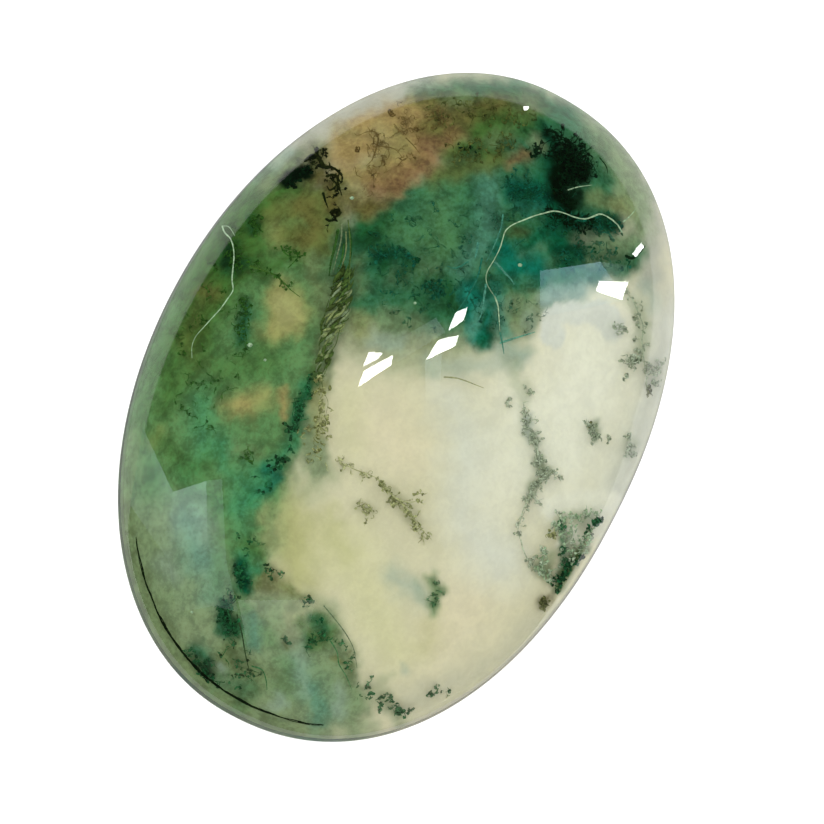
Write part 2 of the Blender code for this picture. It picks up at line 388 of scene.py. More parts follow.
    ("reef", 0.3, 8, (418, 584, 6), (424, 600, 6)),
    ("mist", 0.55, 6, (402, 664, 3), (404, 672, 4)),
    ("olive", 0.3, 8, (384, 488, 4), (404, 506, 8), (416, 522, 5)),
    ("olive", 0.25, 7, (364, 504, 6), (372, 512, 5)),
)

# Clear stone over the milk: at the apex, round the girdle, under the base and at the dome's foot
CLEAR_TOP = 0.85 * MM
CLEAR_SIDE = 0.42 * MM
CLEAR_BASE = 0.16 * MM
CLEAR_CROWN = 0.30 * MM

POLISHED = Form(
    STONE_LENGTH / 2, STONE_WIDTH / 2, 0.0, FOOT_INSET, FOOT_HEIGHT, GIRDLE_LEAN, GIRDLE_TOP, STONE_HEIGHT
)
CLOUD_RELIEF = 0.13 * MM
# Swells of the milk's top: each one's share, its size in millimetres and its seed
SWELLS = ((0.6, 2.2, 51), (0.4, 0.9, 52))
# How many pixels a cloud drifts sideways for each millimetre down the side of the milk, how many cells of
# noise it passes for each radian round the stone, their size, and their seeds
DRIFT = 8.0
DRIFT_ROUND = 4
DRIFT_SIZE = 0.8
DRIFT_SEEDS = (61, 62)

# Grain: its scale for each metre, its strength and the depth of its bumps. The milk's strength runs from that
# of the darkest clouds to that of the lightest.
MILK_GRAIN = 1500.0
MILK_MOTTLING = (0.42, 0.05)
MOTTLED_LIGHT = (0.02, 0.45)
MILK_BUMP = 0.03 * MM
THREAD_GRAIN = 9000.0
THREAD_MOTTLING = 0.45
THREAD_BUMP = 0.01 * MM
PAPER_GRAIN = 60.0
PAPER_MOTTLING = 0.015
PAPER_BUMP = 0.02 * MM
# Inside the grain: the fine layer's scale as a multiple of the coarse one's, the coarse layer's share, the
# noise values that count as darkest and lightest, and how far the hue turns
FINE_GRAIN = 4.3
COARSE_SHARE = 0.65
GRAIN_RANGE = (0.36, 0.64)
HUE_TURN = 0.16
# Wear of the polish: its scale, its noise's range, and the roughness it gives as a share of the mean
WEAR_SCALE = 900.0
WEAR_RANGE = (0.35, 0.7)
WEAR_ROUGHNESS = (0.4, 1.6)
# How much light scatters in the milk, and how far
MILK_SCATTER = 0.25
MILK_SCATTER_DEPTH = 0.35 * MM
MATT = 0.6

# The stage
FLOOR_SIZE = 3.0
FLOOR_Z = -0.01 * MM
FLOOR_GLOW = 0.25
PAPER_WHITE = 0.94
ROOM_TONE = 0.78
MIRROR_TONE = 0.03
TABLE_TONE = 0.95
# The table's edge as the polish mirrors it: how far under the horizon it lies to the sides, towards the
# stone's right, and towards the camera, with the directions from which the last two act.
TABLE_DIP = 0.22
RIGHT_DIP = 1.2
RIGHT_FROM = 0.35
RIGHT_BAND = (0.2, -0.3)
CAMERA_DIP = 2.0
CAMERA_FROM = -0.25
EDGE_BAND = (-0.01, -0.06)
# Close to the stone the table is shaded.
SHADED_TONE = 0.35
SHADED_BAND = (-0.6, -0.85)
BACKDROP_TONE = 0.95
SOFT_LAMP_OFFSET = (0.02, 0.04, 0.50)
SOFT_LAMP_SIZE = 0.70
SOFT_LAMP_RADIANCE = 0.9
# How far out the first card hangs, how much further each next one does, and the squares along its edge
CARD_DISTANCE = 0.22
CARD_GAP = 0.01
CARD_STEPS = 12

WHITE = (1.0, 1.0, 1.0)
SKY = (0.72, 0.92, 1.0)
DEEP_SKY = (0.50, 0.82, 1.0)

# A card is a patch that the polish mirrors: its four corners in pixels, in turn, the radiance at each, and
# their colour.
CARDS = (
    # Windows and lamps, white in the polish
    (((364, 371), (393, 355), (391, 365), (358, 387)), (28, 28, 28, 28), WHITE),
    (((369, 352), (383, 353), (378, 359), (363, 366)), (26, 26, 26, 26), WHITE),
    (((438, 340), (459, 335), (455, 346), (426, 360)), (28, 28, 28, 28), WHITE),
    (((456, 312), (467, 308), (464, 320), (448, 331)), (28, 28, 28, 28), WHITE),
    (((599, 281), (628, 282), (622, 300), (596, 291)), (26, 26, 26, 26), WHITE),
    (((641, 243), (644, 247), (636, 257), (632, 254)), (26, 26, 26, 26), WHITE),
    (((523, 106), (529, 106), (528, 110), (524, 110)), (20, 20, 20, 20), WHITE),
    # Pale panes that only veil what lies under them
    (((540, 271), (600, 262), (626, 300), (540, 318)), (3.4, 4.6, 1.2, 0.6), DEEP_SKY),
    (((600, 262), (632, 266), (642, 318), (626, 300)), (1.6, 0.0, 0.2, 0.4), SKY),
    (((540, 318), (626, 300), (640, 336), (540, 336)), (0.6, 1.0, 0.0, 0.3), WHITE),
    (((400, 338), (436, 318), (446, 332), (398, 362)), (0.3, 1.4, 1.4, 0.5), SKY),
    (((425, 360), (442, 352), (440, 398), (426, 402)), (1.8, 1.8, 0.0, 0.3), SKY),
    (((173, 492), (206, 481), (208, 556), (168, 560)), (3.0, 3.6, 0.7, 0.4), SKY),
    (((168, 560), (208, 556), (214, 606), (176, 612)), (0.4, 0.7, 0.7, 0.2), SKY),
    (((206, 481), (222, 479), (226, 560), (208, 556)), (1.3, 1.2, 0.9, 0.7), SKY),
    (((208, 556), (226, 560), (238, 612), (214, 606)), (0.7, 0.9, 0.7, 0.7), SKY),
    (((143, 428), (173, 492), (168, 560), (130, 505)), (0.9, 2.6, 0.4, 0.9), SKY),
    (((238, 600), (316, 600), (300, 660), (250, 660)), (1.2, 0.8, 0.0, 0.3), WHITE),
)


def milky_form(settings):
    """The milky body's form: the polished one, drawn in by the clear stone over it."""
    return Form(
        STONE_LENGTH / 2 - settings.clear_side,
        STONE_WIDTH / 2 - settings.clear_side,
        CLEAR_BASE,
        FOOT_INSET,
        FOOT_HEIGHT + CLEAR_BASE,
        GIRDLE_LEAN,
        GIRDLE_TOP - CLEAR_CROWN,
        STONE_HEIGHT - settings.clear_top,
    )


# How finely a cabochon is made: points round each ring, then rings on its dome, girdle, foot and base
AROUND = 360
DOME_ROWS = 150
GIRDLE_ROWS = 18
FOOT_ROWS = 12
BASE_ROWS = 10
ROUNDING_PASSES = 3

# The noise repeats after this many cells
NOISE_CELLS = 97
# How strongly chalcedony bends light
STONE_INDEX = 1.54
# Passes that find a sight line's place on the dome, and a point's place in the picture; each of the second
# kind goes this share of the way, and stays this far in from the outline
DOME_PASSES = 30
SIGHT_PASSES = 12
SIGHT_STEP = 0.7
SIGHT_EDGE = 0.995


class SceneError(RuntimeError):
    """A piece that can't be made, which stops the script."""


def eased(value):
    """A value cut to the range 0 to 1, and bent so that it starts and ends flat."""
    value = np.clip(value, 0.0, 1.0)
    return value * value * (3 - 2 * value)


def soft_noise(u, v, size, seed):
    """Random heights from 0 to 1 on a square lattice of this size, eased between its corners."""
    lattice = np.random.default_rng(seed).random((NOISE_CELLS, NOISE_CELLS))
    column = np.floor(u / size).astype(int)
    row = np.floor(v / size).astype(int)
    across = eased(u / size - column)
    down = eased(v / size - row)

    def corner(right, below):
        return lattice[(row + below) % NOISE_CELLS, (column + right) % NOISE_CELLS]

    upper = corner(0, 0) * (1 - across) + corner(1, 0) * across
    lower = corner(0, 1) * (1 - across) + corner(1, 1) * across
    return upper * (1 - down) + lower * down


def superellipse_share(form, x, y):
    """How far out a point lies: the superellipse's own radius, 0 in the middle and 1 on the outline."""
    fullness = np.where(y > 0, ROUND_SIDE_FULLNESS, FULL_SIDE_FULLNESS)
    across = np.abs(x / (form.half_length - form.lean))
    along = np.abs(y / (form.half_width - form.lean))
    return (across**fullness + along**fullness) ** (1 / fullness)


def dome_rise(form, angle):
    """Height of a dome at an angle from its apex: that of an ellipse cut at DOME_CUT."""
    rise = (np.cos(angle) - math.cos(DOME_CUT)) / (1 - math.cos(DOME_CUT))
    return form.girdle + (form.top - form.girdle) * rise


def dome_height(form, x, y):
    """Height of a dome: the top of an ellipsoid, cut at DOME_CUT, over the share of the outline."""
    share = np.minimum(superellipse_share(form, x, y), 1.0)
    return dome_rise(form, np.arcsin(share * math.sin(DOME_CUT)))


def dome_normal(form, x, y):
    """Unit normals of a dome, from its height a hundredth of a millimetre to each side."""
    step = 0.01 * MM
    slope_x = (dome_height(form, x + step, y) - dome_height(form, x - step, y)) / (2 * step)
    slope_y = (dome_height(form, x, y + step) - dome_height(form, x, y - step)) / (2 * step)
    normal = np.stack([-slope_x, -slope_y, np.ones_like(slope_x)], axis=-1)
    return normal / np.linalg.norm(normal, axis=-1, keepdims=True)


def outline(form, turn, inset):
    """Points of the superellipse outline at these turns, moved in along its normals."""
    fullness = np.where(np.sin(turn) > 0, ROUND_SIDE_FULLNESS, FULL_SIDE_FULLNESS)
    across = np.sign(np.cos(turn)) * np.abs(np.cos(turn)) ** (2 / fullness)
    along = np.sign(np.sin(turn)) * np.abs(np.sin(turn)) ** (2 / fullness)
    normal_x = np.cos(turn) / form.half_length
    normal_y = np.sin(turn) / form.half_width
    reach = np.hypot(normal_x, normal_y)
    x = form.half_length * across - inset * normal_x / reach
    y = form.half_width * along - inset * normal_y / reach
    return x, y


def profile_rows(form):
    """Rows from near the apex to near the base's middle: share of the outline, inset and height."""
    angle = np.linspace(0, DOME_CUT, DOME_ROWS + 1)[1:]
    share = np.sin(angle) / math.sin(DOME_CUT)
    dome = np.column_stack([share, np.full(DOME_ROWS, form.lean), dome_rise(form, angle)])
    corners = (
        (1.0, form.lean, form.girdle),
        (1.0, 0.0, form.foot),
        (1.0, form.foot_inset, form.base),
        (0.02, form.foot_inset, form.base),
    )
    runs = [dome]
    for start, end, rows in zip(corners, corners[1:], (GIRDLE_ROWS, FOOT_ROWS, BASE_ROWS)):
        way = np.linspace(0, 1, rows + 1)[1:, None]
        runs.append(np.array(start) * (1 - way) + np.array(end) * way)
    return np.concatenate(runs)


def cabochon_rings(form):
    """The cabochon as rings of points: each row of the profile carried round the outline.

    Each ring is then averaged with its neighbours a few times, which rounds the cut edges a little.
    """
    turn = np.linspace(0, 2 * math.pi, AROUND, endpoint=False)
    share, inset, height = (column[:, None] for column in profile_rows(form).T)
    x, y = outline(form, turn[None, :], inset)
    rings = np.stack([share * x, share * y, np.broadcast_to(height, x.shape)], axis=-1)
    for _ in range(ROUNDING_PASSES):
        rings[1:-1] = 0.25 * rings[:-2] + 0.5 * rings[1:-1] + 0.25 * rings[2:]
    return rings


def ring_faces(rings, around, tip, foot):
    """Triangles of a closed skin of rings: two to each square of the grid, and a fan at each end."""
    turn = np.arange(around)
    beside = (turn + 1) % around
    row = np.arange(rings - 1)[:, None] * around
    upper, lower = row + turn, row + around + turn
    upper_beside, lower_beside = row + beside, row + around + beside
    squares = np.stack([(upper, lower, lower_beside), (upper, lower_beside, upper_beside)])
    squares = np.moveaxis(squares, 1, -1).reshape(-1, 3)
    last = (rings - 1) * around
    tip_fan = np.column_stack([np.full(around, tip), turn, beside])
    foot_fan = np.column_stack([np.full(around, foot), last + beside, last + turn])
    return np.concatenate([squares, tip_fan, foot_fan])


def put_object(name, data):
    """An object with this data, in the scene."""
    item = bpy.data.objects.new(name, data)
    bpy.context.scene.collection.objects.link(item)
    return item


def put_mesh(name, points, faces, material, **attributes):
    """Makes an object from arrays of points and triangles, with its colours and values at the points."""
    mesh = bpy.data.meshes.new(name)
    mesh.vertices.add(len(points))
    mesh.vertices.foreach_set("co", np.ascontiguousarray(points, np.float32).ravel())
    mesh.loops.add(faces.size)
    mesh.loops.foreach_set("vertex_index", np.ascontiguousarray(faces, np.int32).ravel())
    mesh.polygons.add(len(faces))
    mesh.polygons.foreach_set("loop_start", np.arange(0, faces.size, 3, dtype=np.int32))
    mesh.update(calc_edges=True)
    if mesh.validate():
        raise SceneError(f"the mesh of {name} had broken faces")
    mesh.shade_smooth()
    for title, values in attributes.items():
        if values.ndim == 2:
            layer = mesh.attributes.new(title, "FLOAT_COLOR", "POINT")
            filled = np.concatenate([values, np.ones((len(values), 1))], axis=1)
            layer.data.foreach_set("color", filled.astype(np.float32).ravel())
        else:
            layer = mesh.attributes.new(title, "FLOAT", "POINT")
            layer.data.foreach_set("value", values.astype(np.float32))
    mesh.materials.append(material)
    return put_object(name, mesh)


def cabochon_mesh(form):
    """Points and triangles of a closed cabochon: its rings, the apex and the middle of the base."""
    rings = cabochon_rings(form)
    count = rings.shape[0] * AROUND
    points = np.concatenate([rings.reshape(-1, 3), [(0, 0, form.top), (0, 0, form.base)]])
    return points, ring_faces(rings.shape[0], AROUND, count, count + 1)


# The camera's own axes in the stone's frame, and where it aims
SIDEWAYS = math.sin(CAMERA_LEAN)
BACK = np.array(
    [SIDEWAYS * math.cos(CAMERA_BEARING), SIDEWAYS * math.sin(CAMERA_BEARING), math.cos(CAMERA_LEAN)]
)
FLAT_RIGHT = np.array([math.cos(LENGTH_IN_PICTURE), -math.sin(LENGTH_IN_PICTURE), 0.0])
RIGHT = FLAT_RIGHT - BACK * (FLAT_RIGHT @ BACK)
RIGHT = RIGHT / np.linalg.norm(RIGHT)
UP = np.cross(BACK, RIGHT)
MIDDLE_OF_OUTLINE = np.array([0.0, 0.0, 1.0 * MM])
AIM = (
    MIDDLE_OF_OUTLINE
    + RIGHT * (PICTURE / 2 - STONE_IN_PICTURE[0]) / PIXELS_A_MM * MM
    - UP * (PICTURE / 2 - STONE_IN_PICTURE[1]) / PIXELS_A_MM * MM
)
EYE = AIM + BACK * CAMERA_DISTANCE
PICTURE_WIDTH = PICTURE / PIXELS_A_MM * MM
LENS = SENSOR * CAMERA_DISTANCE / PICTURE_WIDTH


def sight_lines(u, v):
    """Unit directions from the eye through points of the picture."""
    across = (np.asarray(u, float) - PICTURE / 2) / PICTURE * PICTURE_WIDTH / CAMERA_DISTANCE
    up = (PICTURE / 2 - np.asarray(v, float)) / PICTURE * PICTURE_WIDTH / CAMERA_DISTANCE
    ray = across[..., None] * RIGHT + up[..., None] * UP - BACK
    return ray / np.linalg.norm(ray, axis=-1, keepdims=True)


def picture_point(points):
    """Where points show in the picture when nothing bends their light: across and down, in pixels."""
    offset = points - EYE
    depth = -(offset @ BACK)
    across = (offset @ RIGHT) / depth * CAMERA_DISTANCE / PICTURE_WIDTH * PICTURE
    up = (offset @ UP) / depth * CAMERA_DISTANCE / PICTURE_WIDTH * PICTURE
    return PICTURE / 2 + across, PICTURE / 2 - up


def on_dome(u, v):
    """Where sight lines meet the polished dome, found by stepping to the dome's height again and again."""
    ray = sight_lines(u, v)
    height = np.full(ray.shape[:-1], STONE_HEIGHT / 2)
    for _ in range(DOME_PASSES):
        way = (height - EYE[2]) / ray[..., 2]
        point = EYE + ray * way[..., None]
        height = dome_height(POLISHED, point[..., 0], point[..., 1])
    point[..., 2] = height
    return point, ray, dome_normal(POLISHED, point[..., 0], point[..., 1])


def bent(ray, normal):
    """The directions of rays inside the stone: bent at the polished surface by the law of refraction."""
    facing = -np.sum(ray * normal, axis=-1, keepdims=True)
    ratio = 1 / STONE_INDEX
    inner = np.sqrt(1 - ratio**2 * (1 - facing**2))
    return ratio * ray + (ratio * facing - inner) * normal


def under_dome(u, v, depth):
    """Places in the stone that show at these points of the picture, each so far below the surface."""
    point, ray, normal = on_dome(u, v)
    inward = bent(ray, normal)
    return point + inward * (np.asarray(depth)[..., None] / -inward[..., 2:])


def seen_at(points):
    """Where points inside the stone show in the picture: across and down, in pixels.

    A guess on the dome is moved over by how far its bent sight line misses the point, a few times.
    """
    x, y = points[:, 0].copy(), points[:, 1].copy()
    for _ in range(SIGHT_PASSES):
        share = np.maximum(superellipse_share(POLISHED, x, y) / SIGHT_EDGE, 1.0)
        x, y = x / share, y / share
        surface = np.stack([x, y, dome_height(POLISHED, x, y)], axis=-1)
        ray = surface - EYE
        ray = ray / np.linalg.norm(ray, axis=-1, keepdims=True)
        inward = bent(ray, dome_normal(POLISHED, x, y))
        way = (points[:, 2] - surface[:, 2]) / inward[:, 2]
        miss = points - (surface + inward * way[:, None])
        x, y = x + SIGHT_STEP * miss[:, 0], y + SIGHT_STEP * miss[:, 1]
    return picture_point(np.stack([x, y, dome_height(POLISHED, x, y)], axis=-1))


# How far the clouds' edges wander, in pixels, and over what distance they do
CURDLING = ((2.5, 26.0), (3.5, 12.0), (2.5, 5.5))


def path_cover(path, soft, u, v):
    """How much a soft brush covers each point: 1 within the radius of its path, fading over soft pixels."""
    near = np.full(np.shape(u), 1e9)
    for start, end in zip(path, path[1:]):
        leg_u, leg_v = end[0] - start[0], end[1] - start[1]
        long = max(leg_u**2 + leg_v**2, 1e-6)
        along = np.clip(((u - start[0]) * leg_u + (v - start[1]) * leg_v) / long, 0, 1)
        gap = np.hypot(u - start[0] - along * leg_u, v - start[1] - along * leg_v)
        near = np.minimum(near, gap - start[2] - along * (end[2] - start[2]))
    return eased(0.5 - near / (2 * soft))


def cloud_colour(u, v, tints):
    """The milk's colour at points of the picture: each wash laid over the ones before it.

    Before that the points are moved about by a few layers of noise, which curdles every wash's edge.
    """
    shift_u, shift_v = np.zeros(np.shape(u)), np.zeros(np.shape(u))
    for layer, (reach, size) in enumerate(CURDLING):
        shift_u += reach * (2 * soft_noise(u, v, size, 10 + layer) - 1)
        shift_v += reach * (2 * soft_noise(u, v, size, 20 + layer) - 1)
    u, v = u + shift_u, v + shift_v
    colour = np.empty(np.shape(u) + (3,))
    colour[:] = tints["cream"]
    for tint, strength, soft, *path in WASHES:
        cover = strength * path_cover(path, soft, u, v)
        colour += (np.array(tints[tint]) - colour) * cover[..., None]
    return colour


# Moss has two tints, a share by which the milk veils it, growths and strands.
# A growth is threads that start along a lane: how many trunks it has, their reach in pixels, how far each
# step turns, the slant and the stray of their heading in radians, how many branches each trunk has, the least
# and most depth and the radius in mm, and then the lane's points (across, down, half width) in pixels.
# A strand is one thread: its depth and radius in millimetres, and then its points (across, down) in pixels.
Moss = namedtuple("Moss", "deep light veiled growths strands", defaults=((), ()))

MOSS_TINTS = {
    "black_moss": ((0.0015, 0.006, 0.0008), "the darkest threads"),
    "knot_moss": ((0.009, 0.013, 0.002), "nearly black threads"),
    "ink_moss": ((0.002, 0.02, 0.006), "green black threads"),
    "bottle_moss": ((0.004, 0.05, 0.014), "dark green threads"),
    "vein_moss": ((0.06, 0.11, 0.022), "the rope vein's lighter strokes"),
    "pine_moss": ((0.01, 0.05, 0.004), "deep olive green threads"),
    "sprig_moss": ((0.035, 0.115, 0.015), "olive green threads"),
    "ply_moss": ((0.2, 0.25, 0.09), "the rope vein's pale strokes"),
    "green_moss": ((0.02, 0.15, 0.05), "mid green threads"),
    "sea_moss": ((0.008, 0.105, 0.062), "blue green threads"),
    "brown_moss": ((0.022, 0.034, 0.004), "dark olive threads"),
    "lace_moss": ((0.26, 0.42, 0.22), "green lace in the milk"),
    "ash_moss": ((0.27, 0.33, 0.21), "pale grey green threads in the milk"),
    "olive_moss": ((0.12, 0.14, 0.035), "olive threads"),
    "straw_moss": ((0.4, 0.43, 0.19), "the palest olive threads"),
    "dusk_moss": ((0.15, 0.205, 0.115), "dull green threads in the milk"),
    "grey_moss": ((0.4, 0.47, 0.34), "grey green threads in the milk"),
    "wisp": ((0.08, 0.27, 0.19), "pale wisps in the crown"),
    "iron": ((0.07, 0.048, 0.012), "iron brown threads"),
    "amber_iron": ((0.14, 0.095, 0.03), "paler iron threads"),
    "hairline": ((0.3, 0.44, 0.27), "healed hairlines and specks"),
}

# The rope vein's middle line and half width, in pixels
ROPE_LANE = (
    (345, 236, 6), (345, 262, 8), (342, 290, 10), (338, 312, 10), (331, 332, 10), (326, 352, 8),
    (322, 374, 6),
)
# How many strokes its braid has, the share of the lane where they begin, and their radius in mm; then how
# long they are at most, in pixels
ROPE_STROKES = {"moss_rope_vein": (48, 0.20, 0.052), "moss_rope_pale": (44, 0.27, 0.034)}
ROPE_STROKE = 19.0

